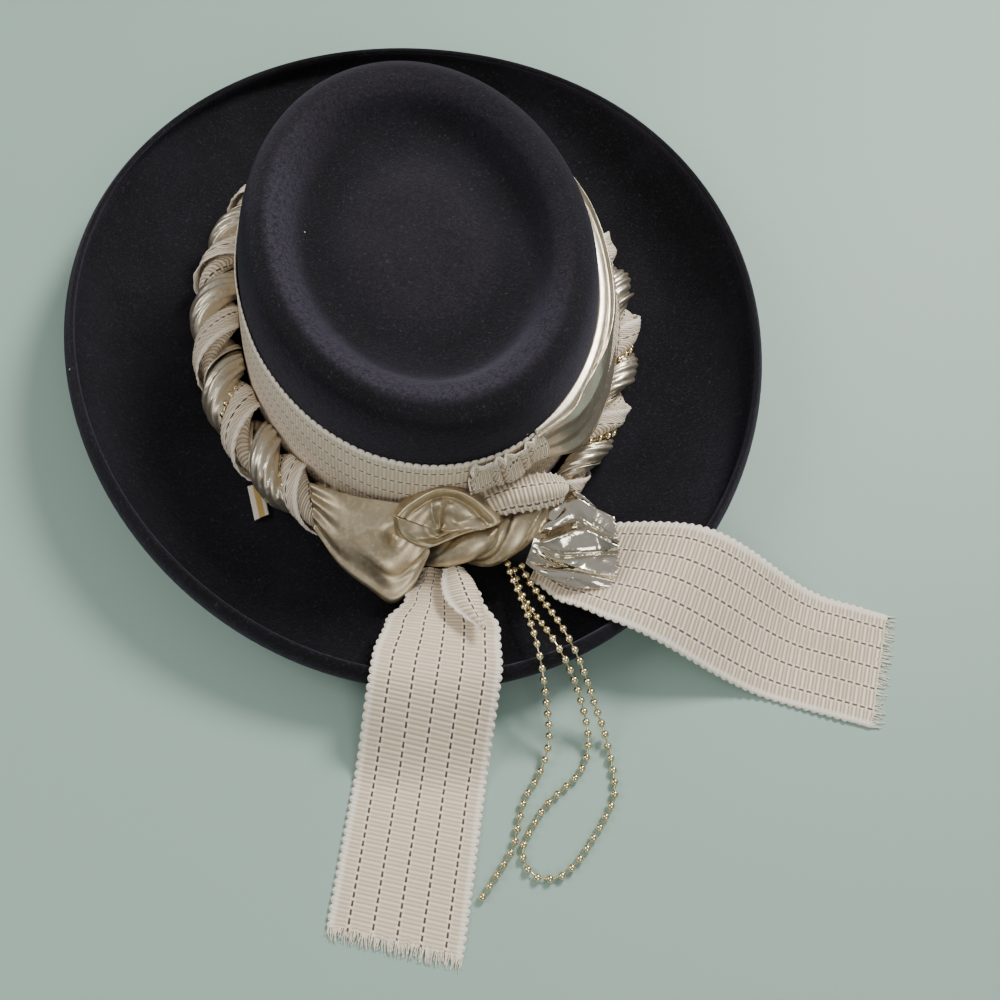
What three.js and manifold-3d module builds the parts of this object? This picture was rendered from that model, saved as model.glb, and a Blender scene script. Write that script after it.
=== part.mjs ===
// Rancher hat of dark felt. A twist of ribbon, metallic cloth and ball chain is tied round its crown.
// Millimetres, +Z up. The hat lies brim down: the knot is at -Y and the crown is longest along Y.
import * as THREE from 'three';
import { mergeVertices } from 'three/addons/utils/BufferGeometryUtils.js';
import Module from 'manifold-3d';

// Felt body
const feltThickness = 2.5;
const crownHalfLength = 105;
const crownHalfWidth = 84.5;
const crownHeight = 96;
const crestHalfLength = 90.5;
const crestHalfWidth = 67;
const dentDepth = 18;
const domeHeight = 4;
const brimHalfLength = 184;
const brimHalfWidth = 165;
const brimShift = 3.5;
const brimEdgeHeight = 18.5;
const brimSideLift = 16;
const brimSeamHeight = 3;
const seamRadius = 3;
const curlRadius = 6;
const curlTurn = 140;
const curlExtraTurn = 18;
const curlExtraAt = -50;

// Trim
const gap = 0.3;
const clothThickness = 1;
const ribbonWidth = 56;
const ribbonBandFoot = 1.5;
const lameBandOverhang = 1;
const lameBandFoot = 30;
const lameBandBulge = 3.5;
const strandRadius = 5.4;
const chainRide = 0.6;
const twistTurns = 13;
const knotWidth = 64;
const knotHeight = 24;
const loopWidth = 19;
const loopHeight = 5;
const loopInnerHeight = 40;
const loopOuterHeight = 34;
const ruffleDepth = 5;
const ruffleCount = 6;
const ruffleFoot = 46;
const tailLeftLength = 161;
const tailRightLength = 163;
const tailLeftFall = 46;
const tailRightFall = 71;
const frayLength = 5;
const frayLocks = 9;
const pleatHeight = 3;
const beadDiameter = 3.6;
const tabWidth = 7;
const tabLength = 18;

// Mesh density
const aroundSteps = 44;

const wasm = await Module();
wasm.setup();

function solidOf(geometry) {
  const vertProperties = geometry.attributes.position.array;
  const triVerts = Uint32Array.from(geometry.index.array);
  return new wasm.Manifold(new wasm.Mesh({ numProp: 3, vertProperties, triVerts }));
}

function geometryOfSolid(solid) {
  const { vertProperties, triVerts } = solid.getMesh();
  const geometry = new THREE.BufferGeometry();
  geometry.setAttribute('position', new THREE.Float32BufferAttribute(vertProperties, 3));
  geometry.setIndex(Array.from(triVerts));
  geometry.computeVertexNormals();
  return geometry;
}

// Cuts a piece clear of others and keeps its largest part.
function cutClear(geometry, others) {
  const solid = others.reduce((left, other) => left.subtract(solidOf(other)), solidOf(geometry));
  const parts = solid.decompose().sort((a, b) => b.volume() - a.volume());
  return geometryOfSolid(parts[0]);
}

const radians = THREE.MathUtils.degToRad;
const mix = THREE.MathUtils.lerp;
const smooth = (share) => THREE.MathUtils.smoothstep(share, 0, 1);

// An angle round the hat starts at the knot, -Y, and goes towards +X.
function around(halfWidth, halfLength, angle) {
  return new THREE.Vector2(halfWidth * Math.sin(angle), -halfLength * Math.cos(angle));
}

function geometryOf(points, triangles) {
  const geometry = new THREE.BufferGeometry();
  const flat = points.flatMap((point) => [point.x, point.y, point.z]);
  geometry.setAttribute('position', new THREE.Float32BufferAttribute(flat, 3));
  let volume = 0;
  for (const [a, b, c] of triangles) {
    volume += points[a].dot(new THREE.Vector3().crossVectors(points[b], points[c]));
  }
  const facing = volume > 0 ? triangles : triangles.map(([a, b, c]) => [a, c, b]);
  geometry.setIndex(facing.flat());
  geometry.computeVertexNormals();
  return geometry;
}

// Joins rings of equal count into one closed skin. A ring of one point is a pole.
function loft(rings, closed = false) {
  const points = rings.flat();
  const starts = [];
  let start = 0;
  for (const ring of rings) {
    starts.push(start);
    start += ring.length;
  }
  const triangles = [];
  const spans = closed ? rings.length : rings.length - 1;
  for (let i = 0; i < spans; i++) {
    const next = (i + 1) % rings.length;
    const count = Math.max(rings[i].length, rings[next].length);
    for (let j = 0; j < count; j++) {
      const k = (j + 1) % count;
      const [a, b] = [j, k].map((at) => starts[i] + (rings[i].length > 1 ? at : 0));
      const [c, d] = [j, k].map((at) => starts[next] + (rings[next].length > 1 ? at : 0));
      if (a !== b) triangles.push([a, b, d]);
      if (c !== d) triangles.push([a, d, c]);
    }
  }
  return { points, triangles, starts };
}

// Ends of a bundle are closed by a fan to a middle point.
function bundleGeometry(rings) {
  const middle = (ring) => {
    const sum = new THREE.Vector3();
    ring.forEach((point) => sum.add(point));
    return sum.divideScalar(ring.length);
  };
  const { points, triangles } = loft([[middle(rings[0])], ...rings, [middle(rings.at(-1))]]);
  return geometryOf(points, triangles);
}

function gridNormals(grid, wrapped) {
  const rows = grid.length;
  const columns = grid[0].length;
  const along = (i, j) => {
    const before = wrapped ? (i + rows - 1) % rows : Math.max(i - 1, 0);
    const after = wrapped ? (i + 1) % rows : Math.min(i + 1, rows - 1);
    return grid[after][j].clone().sub(grid[before][j]);
  };
  const across = (i, j) => grid[i][Math.min(j + 1, columns - 1)].clone().sub(grid[i][Math.max(j - 1, 0)]);
  return grid.map((row, i) => row.map((point, j) => along(i, j).cross(across(i, j)).normalize()));
}

// Moves the outline of a grid outwards in its own surface.
function widerGrid(grid, wrapped, grow) {
  const outward = (from, to) => to.clone().sub(from).normalize().multiplyScalar(grow);
  const rows = grid.map((row) => row.map((point) => point.clone()));
  const last = grid[0].length - 1;
  grid.forEach((row, i) => {
    rows[i][0].add(outward(row[1], row[0]));
    rows[i][last].add(outward(row[last - 1], row[last]));
  });
  if (!wrapped) {
    grid[0].forEach((point, j) => rows[0][j].add(outward(grid[1][j], point)));
    grid.at(-1).forEach((point, j) => rows.at(-1)[j].add(outward(grid.at(-2)[j], point)));
  }
  return rows;
}

// Thickens a grid of points into a closed sheet. Its second face lies along the normals.
function sheetGeometry(chosen, thickness, wrapped = false, grow = 0) {
  const grid = grow > 0 ? widerGrid(chosen, wrapped, grow) : chosen;
  const normals = gridNormals(grid, wrapped);
  const shift = (i, j, distance) => grid[i][j].clone().addScaledVector(normals[i][j], distance);
  const rings = grid.map((row, i) => {
    const face = row.map((point, j) => shift(i, j, -grow));
    const back = row.map((point, j) => shift(i, j, thickness + grow)).reverse();
    return [...face, ...back];
  });
  const { points, triangles, starts } = loft(rings, wrapped);
  if (!wrapped) {
    const last = grid[0].length * 2 - 1;
    for (let j = 0; j < grid[0].length - 1; j++) {
      for (const [start, turned] of [[starts[0], false], [starts.at(-1), true]]) {
        const quad = [start + j, start + last - j, start + last - j - 1, start + j + 1];
        const [a, b, c, d] = turned ? quad.reverse() : quad;
        triangles.push([a, b, c], [a, c, d]);
      }
    }
  }
  return geometryOf(points, triangles);
}

// Crown, from the rim of the dent's floor out over the crest and down the wall.
// reach is a share of the crest's radius, drop of the dent's depth and dome of the floor's rise.
const dentRows = [
  { reach: 0.34, drop: 1, dome: 0.8 },
  { reach: 0.64, drop: 1, dome: 0.15 },
  { reach: 0.79, drop: 0.74, dome: 0 },
  { reach: 0.89, drop: 0.2, dome: 0 },
  { reach: 1, drop: 0, dome: 0 },
];
// side and end are the wall's lean, from 0 at the crown's foot to 1 at its crest.
const wallRows = [
  { side: 0.74, end: 0.62, height: 0.985 },
  { side: 0.5, end: 0.34, height: 0.95 },
  { side: 0.3, end: 0.18, height: 0.86 },
  { side: 0.11, end: 0.07, height: 0.54 },
];
// across runs from the seam with the crown to the start of the curl. The brim is flat where it rests.
const brimRows = [
  { across: 0.11, rise: 0 },
  { across: 0.15, rise: 0 },
  { across: 0.31, rise: 0 },
  { across: 0.35, rise: 0 },
  { across: 0.6, rise: 0.16 },
  { across: 0.82, rise: 0.52 },
  { across: 1, rise: 1 },
];
const curlStart = 35;
const curlSteps = [0.3, 0.62, 1];

const seamTop = feltThickness + brimSeamHeight;
const wallFoot = seamTop + seamRadius;

function wallLean(height) {
  const rows = [...wallRows, { side: 0, end: 0, height: wallFoot / crownHeight }];
  const share = height / crownHeight;
  for (let i = 0; i < rows.length - 1; i++) {
    const [upper, lower] = [rows[i], rows[i + 1]];
    if (share >= lower.height) {
      const part = (share - lower.height) / (upper.height - lower.height);
      return { side: mix(lower.side, upper.side, part), end: mix(lower.end, upper.end, part) };
    }
  }
  return { side: 0, end: 0 };
}

function wallPoint(angle, height, outward = 0) {
  const lean = wallLean(height);
  const halfWidth = mix(crownHalfWidth, crestHalfWidth, lean.side);
  const halfLength = mix(crownHalfLength, crestHalfLength, lean.end);
  const foot = around(halfWidth, halfLength, angle);
  const normal = new THREE.Vector2(Math.sin(angle) / halfWidth, -Math.cos(angle) / halfLength).normalize();
  foot.addScaledVector(normal, outward);
  return new THREE.Vector3(foot.x, foot.y, height);
}

const innerEdge = { width: brimHalfWidth - feltThickness, length: brimHalfLength - feltThickness };
const edgeHeight = (angle) => brimEdgeHeight + brimSideLift * Math.sin(angle) ** 2;
const curlAngle = (angle) => curlTurn + curlExtraTurn * Math.max(0, Math.cos(angle - radians(curlExtraAt)));

function curlPoint(angle, turn) {
  const inset = curlRadius * (1 - Math.sin(radians(turn)));
  const foot = around(innerEdge.width - inset, innerEdge.length - inset, angle);
  const height = edgeHeight(angle) - curlRadius * Math.cos(radians(turn));
  return new THREE.Vector3(foot.x, foot.y - brimShift, height);
}

function brimPoint(angle, across, rise, lift = 0) {
  const start = around(crownHalfWidth + seamRadius, crownHalfLength + seamRadius, angle);
  const end = curlPoint(angle, curlStart);
  const height = feltThickness + lift + (end.z - feltThickness) * rise;
  return new THREE.Vector3(mix(start.x, end.x, across), mix(start.y, end.y, across), height);
}

function feltColumn(angle) {
  const dent = dentRows.map(({ reach, drop, dome }) => {
    const foot = around(crestHalfWidth * reach, crestHalfLength * reach, angle);
    return new THREE.Vector3(foot.x, foot.y, crownHeight - dentDepth * drop + domeHeight * dome);
  });
  const wall = wallRows.map(({ height }) => wallPoint(angle, height * crownHeight));
  const brim = brimRows.map(({ across, rise }) => brimPoint(angle, across, rise));
  const curl = curlSteps.map((share) => curlPoint(angle, mix(curlStart, curlAngle(angle), share)));
  const seam = [wallPoint(angle, wallFoot), brimPoint(angle, 0, 0, brimSeamHeight)];
  return [...dent, ...wall, ...seam, ...brim, ...curl];
}

function feltBody() {
  const angles = Array.from({ length: aroundSteps }, (_, i) => (2 * Math.PI * i) / aroundSteps);
  const columns = angles.map(feltColumn);
  const normals = gridNormals(columns, true);
  const rows = columns[0].map((_, j) => columns.map((column) => column[j]));
  const sink = (point, i, j) => point.clone().addScaledVector(normals[i][j], feltThickness);
  const under = rows.map((row, j) => row.map((point, i) => sink(point, i, j)));
  const pole = new THREE.Vector3(0, 0, crownHeight - dentDepth + domeHeight);
  const poleUnder = pole.clone().setZ(pole.z - feltThickness);
  const { points, triangles } = loft([[pole], ...rows, ...under.reverse(), [poleUnder]]);
  return geometryOf(points, triangles);
}

const angleOf = (step) => (2 * Math.PI * step) / aroundSteps;
const stepAt = (degrees) => Math.round((degrees * aroundSteps) / 360);
const bandFoot = wallFoot + ribbonBandFoot;
const bandTop = bandFoot + ribbonWidth;
const bandStack = gap + clothThickness;

// Each band is a strip round the wall: rows of height with how far each stands off what it covers.
function wallStrip(steps, rows, offset, wrapped, grow = 0) {
  const place = (step, { height, proud }) => wallPoint(angleOf(step), height, offset + proud);
  const grid = steps.map((step) => rows.map((row) => place(step, row)));
  return sheetGeometry(grid, clothThickness, wrapped, grow);
}

function ribbonBand(grow = 0) {
  const steps = Array.from({ length: aroundSteps }, (_, i) => i);
  const kink = wallRows.at(-1).height * crownHeight;
  const rows = [bandTop, kink, bandFoot].map((height) => ({ height, proud: 0 }));
  return wallStrip(steps.reverse(), rows, gap, true, grow);
}

// The stretch that the smooth fold of metallic cloth covers, in degrees, and its bulge across the fold.
const lameBandSpan = { from: 30, to: 127.5 };
const lameBandRows = [
  { share: 1, proud: 0.1 },
  { share: 0.62, proud: 1 },
  { share: 0.3, proud: 0.6 },
  { share: 0, proud: 0 },
];

function lameBand(grow = 0) {
  const [first, last] = [stepAt(lameBandSpan.from), stepAt(lameBandSpan.to)];
  const steps = Array.from({ length: last - first + 1 }, (_, i) => last - i);
  const rows = lameBandRows.map(({ share, proud }) => ({
    height: mix(lameBandFoot, bandTop + lameBandOverhang, share),
    proud: proud * lameBandBulge,
  }));
  return wallStrip(steps, rows, bandStack + gap, false, grow);
}

// The twist of two strands, with the ball chain in one of the grooves between them.
// phase is in degrees, and sides and steps in a turn are those of the strand's mesh.
const twist = [
  { name: 'twist_lame', look: 'lame', phase: 0, sides: 6, stepsPerTurn: 6 },
  { name: 'twist_ribbon', look: 'ribbon', phase: 180, sides: 6, stepsPerTurn: 6 },
  { name: 'twist_chain', look: 'beads', phase: -90, sides: 8, stepsPerTurn: 6 },
];
const twistStart = -136;
const origin = new THREE.Vector2();
// Its path from the knot's right round the back to its left. size scales the twist.
const twistRows = [
  { at: 32, size: 0.58 },
  { at: 60, size: 0.8 },
  { at: 90, size: 1 },
  { at: 300, size: 1 },
  { at: 342, size: 0.8 },
];

function twistSize(degrees) {
  const next = Math.max(1, twistRows.findIndex(({ at }) => at >= degrees));
  const [from, to] = [twistRows[next - 1], twistRows[next]];
  return mix(from.size, to.size, smooth((degrees - from.at) / (to.at - from.at)));
}

// The chain rides in the groove, clear of both strands.
function chainSeat(radius, seat) {
  const reach = radius + beadDiameter / 2 + chainRide;
  return Math.sqrt(reach ** 2 - seat ** 2);
}

// The twist lies against the metallic fold, one step past its end, at this share of the fold's bulge.
const twistPress = 0.6;
const twistOnLameTo = lameBandSpan.to + 360 / aroundSteps;

// Sections of a strand across the twist. They all turn about the twist's own middle.
function strand({ look, phase, sides, stepsPerTurn }, grow = 0) {
  const isChain = look === 'beads';
  const steps = twistTurns * stepsPerTurn;
  const [first, last] = [twistRows[0].at, twistRows.at(-1).at];
  const rings = [];
  for (let i = 0; i <= steps; i++) {
    const capTurn = THREE.MathUtils.radToDeg(grow / crownHalfWidth) * (Number(i === steps) - Number(i === 0));
    const degrees = mix(first, last, i / steps) + capTurn;
    const strandHere = strandRadius * twistSize(degrees);
    const seat = strandHere + gap / 2;
    const radius = (isChain ? beadDiameter / 2 : strandHere) + grow;
    const swing = isChain ? chainSeat(strandHere, seat) : seat;
    const inner = degrees < twistOnLameTo ? bandStack * 2 + twistPress * lameBandBulge : bandStack;
    const reach = gap + seat + strandHere;
    const turn = radians(twistStart + phase + (360 * i) / stepsPerTurn);
    rings.push(Array.from({ length: sides }, (_, j) => {
      const corner = (2 * Math.PI * (j + 0.5)) / sides;
      const reachToCorner = radius / Math.cos(Math.PI / sides);
      const spot = new THREE.Vector2(0, reachToCorner).rotateAround(origin, -corner);
      spot.y += swing;
      spot.rotateAround(origin, -turn);
      return wallPoint(radians(degrees), wallFoot, inner + reach + spot.x).setZ(seamTop + reach + spot.y);
    }));
  }
  return bundleGeometry(rings);
}

// The brim's lip is the highest line that a tail or chain crosses on its way to the ground.
const lipInset = (angle) => curlRadius - (curlRadius + feltThickness) * Math.sin(radians(curlAngle(angle)));
const lipRise = (angle) => -(curlRadius + feltThickness) * Math.cos(radians(curlAngle(angle)));
const lipHeight = (angle) => edgeHeight(angle) + lipRise(angle);

// 1 on the lip, less inside it and more outside it.
function lipShare(place) {
  const angle = Math.atan2(place.x / innerEdge.width, -(place.y + brimShift) / innerEdge.length);
  const [halfWidth, halfLength] = [innerEdge.width - lipInset(angle), innerEdge.length - lipInset(angle)];
  return { angle, share: Math.hypot(place.x / halfWidth, (place.y + brimShift) / halfLength), halfLength };
}

// Height of the underside of something that leaves the knot, lies over the lip and falls to the ground.
function drapeHeight(place, startShare, startHeight, fallLength) {
  const { angle, share, halfLength } = lipShare(place);
  const top = lipHeight(angle) + gap;
  if (share < 1) return mix(startHeight, top, smooth((share - startShare) / (1 - startShare)));
  return mix(top, gap, smooth(((share - 1) * halfLength) / fallLength));
}

// Places round the knot are shares of its width, from the middle of the band's front, and of its height.
const knotY = -(crownHalfLength + bandStack);

function knotPlace(x, y, z) {
  return new THREE.Vector3(x * knotWidth, knotY + y * knotWidth, seamTop + z * knotHeight);
}

// A tail's start, its bearing from -Y towards +X in degrees, and its width and pleats on the way.
// Its heading has turned from the first bearing to the second by the share bendBy of its length.
// startHeight is a share of the knot's height, skew the slant of its end as a share of its width.
// fall is the way from the lip to the ground.
const tailLeft = {
  start: { x: -0.16, y: -0.33 },
  length: tailLeftLength,
  fall: tailLeftFall,
  bearings: [-4.7, -18.4],
  bendBy: 0.3,
  startHeight: 0.375,
  skew: -0.09,
  rows: [
    { along: 0, wide: 0.3, pleat: 1 },
    { along: 0.1, wide: 0.6, pleat: 0.8 },
    { along: 0.2, wide: 0.88, pleat: 0.35 },
    { along: 0.32, wide: 0.98, pleat: 0 },
    { along: 1, wide: 1, pleat: 0 },
  ],
};
const tailRight = {
  start: { x: 0.6, y: -0.29 },
  length: tailRightLength,
  fall: tailRightFall,
  bearings: [55.8, 63.9],
  bendBy: 0.9,
  startHeight: 0.25,
  skew: 0,
  rows: [
    { along: 0, wide: 0.62, pleat: 0.5 },
    { along: 0.12, wide: 0.9, pleat: 0.2 },
    { along: 0.25, wide: 1, pleat: 0 },
    { along: 1, wide: 1, pleat: 0 },
  ],
};
const tailSteps = 20;
const tailLanes = 7;

function tailGrid(tail) {
  const start = knotPlace(tail.start.x, tail.start.y, 0);
  const place = new THREE.Vector3(start.x, start.y, 0);
  const startShare = lipShare(place).share;
  const grid = [];
  for (let i = 0; i <= tailSteps; i++) {
    const along = i / tailSteps;
    const bearing = radians(mix(...tail.bearings, smooth(along / tail.bendBy)));
    const heading = new THREE.Vector3(Math.sin(bearing), -Math.cos(bearing), 0);
    const left = new THREE.Vector3(-heading.y, heading.x, 0);
    const next = Math.max(1, tail.rows.findIndex((row) => row.along >= along));
    const [from, to] = [tail.rows[next - 1], tail.rows[next]];
    const share = (along - from.along) / (to.along - from.along);
    const width = ribbonWidth * mix(from.wide, to.wide, share);
    const pleat = pleatHeight * mix(from.pleat, to.pleat, share);
    grid.push(Array.from({ length: tailLanes }, (_, j) => {
      const lane = j / (tailLanes - 1) - 0.5;
      const point = place.clone().addScaledVector(left, lane * width);
      point.addScaledVector(heading, -lane * tail.skew * ribbonWidth * along);
      const fold = pleat * (1 - Math.cos(lane * 3 * Math.PI)) * 0.5;
      const drape = drapeHeight(point, startShare, tail.startHeight * knotHeight, tail.fall);
      return point.setZ(drape + fold);
    }));
    place.addScaledVector(heading, tail.length / tailSteps);
  }
  return grid;
}

// Bundles of cloth in the knot: a row for each section of the middle line.
// x, y, wide and tall are shares of the knot's width, z of its height, roll is in degrees.
const wrapRows = [
  { x: -0.32, y: -0.27, z: 0.3, wide: 0.07, tall: 0.05, roll: 0 },
  { x: -0.2, y: -0.34, z: 0.42, wide: 0.15, tall: 0.12, roll: 40 },
  { x: 0.02, y: -0.36, z: 0.6, wide: 0.19, tall: 0.15, roll: 95 },
  { x: 0.26, y: -0.32, z: 0.74, wide: 0.19, tall: 0.15, roll: 165 },
  { x: 0.5, y: -0.23, z: 0.8, wide: 0.16, tall: 0.13, roll: 230 },
  { x: 0.68, y: -0.14, z: 0.8, wide: 0.1, tall: 0.08, roll: 270 },
];
const rosetteRows = [
  { x: -0.46, y: -0.11, z: 1.2, wide: 0.05, tall: 0.04, roll: 0 },
  { x: -0.36, y: -0.13, z: 1.35, wide: 0.17, tall: 0.1, roll: 10 },
  { x: -0.12, y: -0.15, z: 1.5, wide: 0.24, tall: 0.14, roll: 30 },
  { x: 0.1, y: -0.17, z: 1.4, wide: 0.19, tall: 0.11, roll: 50 },
  { x: 0.26, y: -0.18, z: 1.25, wide: 0.05, tall: 0.04, roll: 60 },
];
const endRows = [
  { x: 0.56, y: -0.24, z: 0.75, wide: 0.14, tall: 0.06, roll: 0 },
  { x: 0.7, y: -0.3, z: 0.82, wide: 0.22, tall: 0.06, roll: 10 },
  { x: 0.86, y: -0.37, z: 0.92, wide: 0.28, tall: 0.05, roll: 20 },
  { x: 1.0, y: -0.43, z: 0.98, wide: 0.3, tall: 0.035, roll: 30 },
];

// Folds ripple the outline of each section. Fold is their depth as a share of the section's radius.
function bundle({ rows, folds, fold, sides, steps }, grow = 0) {
  const middles = new THREE.CatmullRomCurve3(rows.map(({ x, y, z }) => knotPlace(x, y, z)));
  const rings = [];
  for (let i = 0; i <= steps; i++) {
    const part = (i / steps) * (rows.length - 1);
    const at = Math.min(Math.floor(part), rows.length - 2);
    const [from, to, share] = [rows[at], rows[at + 1], smooth(part - at)];
    const wide = mix(from.wide, to.wide, share) * knotWidth + grow;
    const tall = mix(from.tall, to.tall, share) * knotWidth + grow;
    const roll = radians(mix(from.roll, to.roll, share));
    const middle = middles.getPoint(i / steps);
    const along = middles.getTangent(i / steps);
    const capGrow = grow * (Number(i === steps) - Number(i === 0));
    middle.addScaledVector(along, capGrow);
    const side = new THREE.Vector3().crossVectors(along, new THREE.Vector3(0, 0, 1)).normalize();
    const up = new THREE.Vector3().crossVectors(side, along);
    rings.push(Array.from({ length: sides }, (_, j) => {
      const turn = (2 * Math.PI * j) / sides;
      const ripple = 1 + fold * Math.cos(folds * turn + roll);
      return middle.clone()
        .addScaledVector(side, wide * ripple * Math.cos(turn))
        .addScaledVector(up, tall * ripple * Math.sin(turn));
    }));
  }
  return bundleGeometry(rings);
}

// The wide fold that spreads from the twist to the knot, from its crown side to its outer side.
const flapRows = [
  { inner: { x: -0.98, y: 0.32, z: 1.05 }, outer: { x: -1.0, y: 0.02, z: 0.75 }, bulge: 0.03 },
  { inner: { x: -0.82, y: 0.22, z: 1.12 }, outer: { x: -0.86, y: -0.24, z: 0.5 }, bulge: 0.06 },
  { inner: { x: -0.66, y: 0.14, z: 1.15 }, outer: { x: -0.68, y: -0.42, z: 0.3 }, bulge: 0.08 },
  { inner: { x: -0.5, y: 0.08, z: 1.18 }, outer: { x: -0.53, y: -0.54, z: 0.18 }, bulge: 0.08 },
  { inner: { x: -0.36, y: 0.03, z: 1.2 }, outer: { x: -0.37, y: -0.45, z: 0.35 }, bulge: 0.07 },
  { inner: { x: -0.24, y: 0, z: 1.2 }, outer: { x: -0.24, y: -0.3, z: 0.75 }, bulge: 0.05 },
];
const flapLanes = 6;

function flapGrid() {
  return flapRows.map(({ inner, outer, bulge }) => Array.from({ length: flapLanes }, (_, j) => {
    const share = j / (flapLanes - 1);
    const place = knotPlace(inner.x, inner.y, inner.z).lerp(knotPlace(outer.x, outer.y, outer.z), share);
    return place.setZ(place.z + bulge * knotWidth * Math.sin(Math.PI * share));
  }));
}

const bundleForms = {
  wrap: { rows: wrapRows, folds: 5, fold: 0.12, sides: 12, steps: 14 },
  rosette: { rows: rosetteRows, folds: 4, fold: 0.14, sides: 12, steps: 10 },
  end: { rows: endRows, folds: 5, fold: 0.2, sides: 14, steps: 8 },
};

// The ribbon's loop is a hairpin: out along the crown, round its end and back above itself.
// at is the angle from the knot in degrees, lift a share of the loop's height.
const loopRows = [
  { at: 4, lift: 0 },
  { at: 13, lift: 0 },
  { at: 22, lift: 0.02 },
  { at: 28, lift: 0.14 },
  { at: 30.5, lift: 0.5 },
  { at: 28, lift: 0.86 },
  { at: 22, lift: 1 },
  { at: 13, lift: 1.02 },
  { at: 4, lift: 1 },
];
const loopLanes = [0, 0.35, 0.7, 1];

function loopGrid() {
  return loopRows.map(({ at, lift }) => loopLanes.map((lane) => {
    const height = mix(loopInnerHeight, loopOuterHeight, lane) + lift * loopHeight;
    const outward = bandStack + ruffleDepth + mix(0, loopWidth, lane);
    return wallPoint(radians(at), height, outward);
  }));
}

// The bunched ribbon stands off the band in pleats.
const ruffleSpan = { from: 3, to: 28 };
const stepsPerRuffle = 4;
const ruffleSwing = ruffleDepth - clothThickness - 3 * gap;
const ruffleRows = [
  { share: 1, proud: 0.75 },
  { share: 0.55, proud: 1 },
  { share: 0, proud: 0.55 },
];

function ruffleGrid() {
  const steps = ruffleCount * stepsPerRuffle;
  return Array.from({ length: steps + 1 }, (_, i) => {
    const angle = radians(mix(ruffleSpan.to, ruffleSpan.from, i / steps));
    const wave = 0.5 - 0.5 * Math.cos((2 * Math.PI * i) / stepsPerRuffle);
    return ruffleRows.map(({ share, proud }) => {
      const outward = bandStack + 2 * gap + ruffleSwing * wave * proud;
      return wallPoint(angle, mix(ruffleFoot, bandTop, share), outward);
    });
  });
}

// The small cut ribbon end comes from under the twist and lies on the brim.
// out is its place off the crown's foot as a share of the twist's breadth.
const tabEnds = [{ at: -56, out: 0.67 }, { at: -46, out: 1.2 }];
const twistBreadth = 4 * strandRadius + gap;

function tabGrid() {
  const onBrim = feltThickness + gap;
  const [from, to] = tabEnds.map(({ at, out }) => wallPoint(radians(at), onBrim, out * twistBreadth));
  const along = to.clone().sub(from).normalize();
  to.copy(from).addScaledVector(along, tabLength);
  const across = new THREE.Vector3(along.y, -along.x, 0).multiplyScalar(tabWidth / 2);
  return [from, to].map((end) => [1, -1].map((side) => end.clone().addScaledVector(across, side)));
}

// Frayed threads at a tail's end, in locks fused to it, every second one shorter.
// Shares of a lock's width, of its length and of the cloth's thickness.
const frayForm = { space: 0.08, shorter: 0.75, thin: 0.8 };

function frayedTail(tail) {
  const grid = tailGrid(tail);
  const [before, end] = grid.slice(-2);
  const at = (row, share) => {
    const lane = Math.min(Math.floor(share * (row.length - 1)), row.length - 2);
    return row[lane].clone().lerp(row[lane + 1], share * (row.length - 1) - lane);
  };
  let solid = solidOf(sheetGeometry(grid, clothThickness));
  for (let i = 0; i < frayLocks; i++) {
    const [first, last] = [frayForm.space, 1 - frayForm.space].map((edge) => (i + edge) / frayLocks);
    const out = at(end, 0.5).sub(at(before, 0.5)).setZ(0).normalize();
    const reach = frayLength * (i % 2 === 0 ? 1 : frayForm.shorter);
    const root = [first, last].map((share) => at(end, share).addScaledVector(out, -clothThickness));
    const middle = (first + last) / 2;
    const ends = [(middle + first) / 2, (middle + last) / 2];
    const tip = ends.map((share) => at(end, share).addScaledVector(out, reach));
    solid = solid.add(solidOf(sheetGeometry([root, tip], clothThickness * frayForm.thin)));
  }
  return geometryOfSolid(solid);
}

// Routes of the ball chain's free end and of its loop, from the knot over the lip to the ground.
const beadStrandRoute = [
  [19.5, -132, 15], [19.5, -138.5, 17.5], [21.1, -151, 21.2], [21.9, -164.5, 26.8], [22.3, -176, 30.5],
  [22.5, -186.5, 29], [22.8, -195.5, 22.5], [23, -204.5, 14.5], [22.8, -211, 8.5], [20.5, -218, 4],
  [15, -226.5, 2], [7.5, -235, 2], [3, -244.5, 2], [-1.5, -254, 2], [-8.5, -262, 2], [-17.5, -271, 2],
];
const beadLoopRoute = [
  [22.5, -134, 11], [22.5, -143, 14], [23.5, -152, 17.5], [25.8, -162, 23], [28.8, -174, 30.5],
  [32.5, -184, 30], [36, -192.5, 23], [38.5, -201.5, 15], [40, -211, 7], [38.5, -220.5, 2.2],
  [32.5, -228.5, 2], [23, -234.5, 2],
  [14.5, -240.5, 2], [7.3, -248.5, 2], [2.2, -256.5, 2], [5, -266.5, 2], [15, -269, 2], [24.5, -264, 2],
  [32.5, -256.5, 2], [40, -248.5, 2], [46, -240, 2], [48, -229.5, 2], [48, -221, 2.6], [47.5, -213.5, 5],
  [44.8, -204.5, 12], [42.3, -195.5, 20], [39.7, -187.5, 27], [36.5, -177.5, 30.8], [33.5, -166.5, 28],
  [30, -153.5, 21.5], [27, -142.5, 17], [25.5, -134, 15],
];
const beadTubeSteps = { strand: 22, loop: 44 };
const beadTubeSides = 8;

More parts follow.
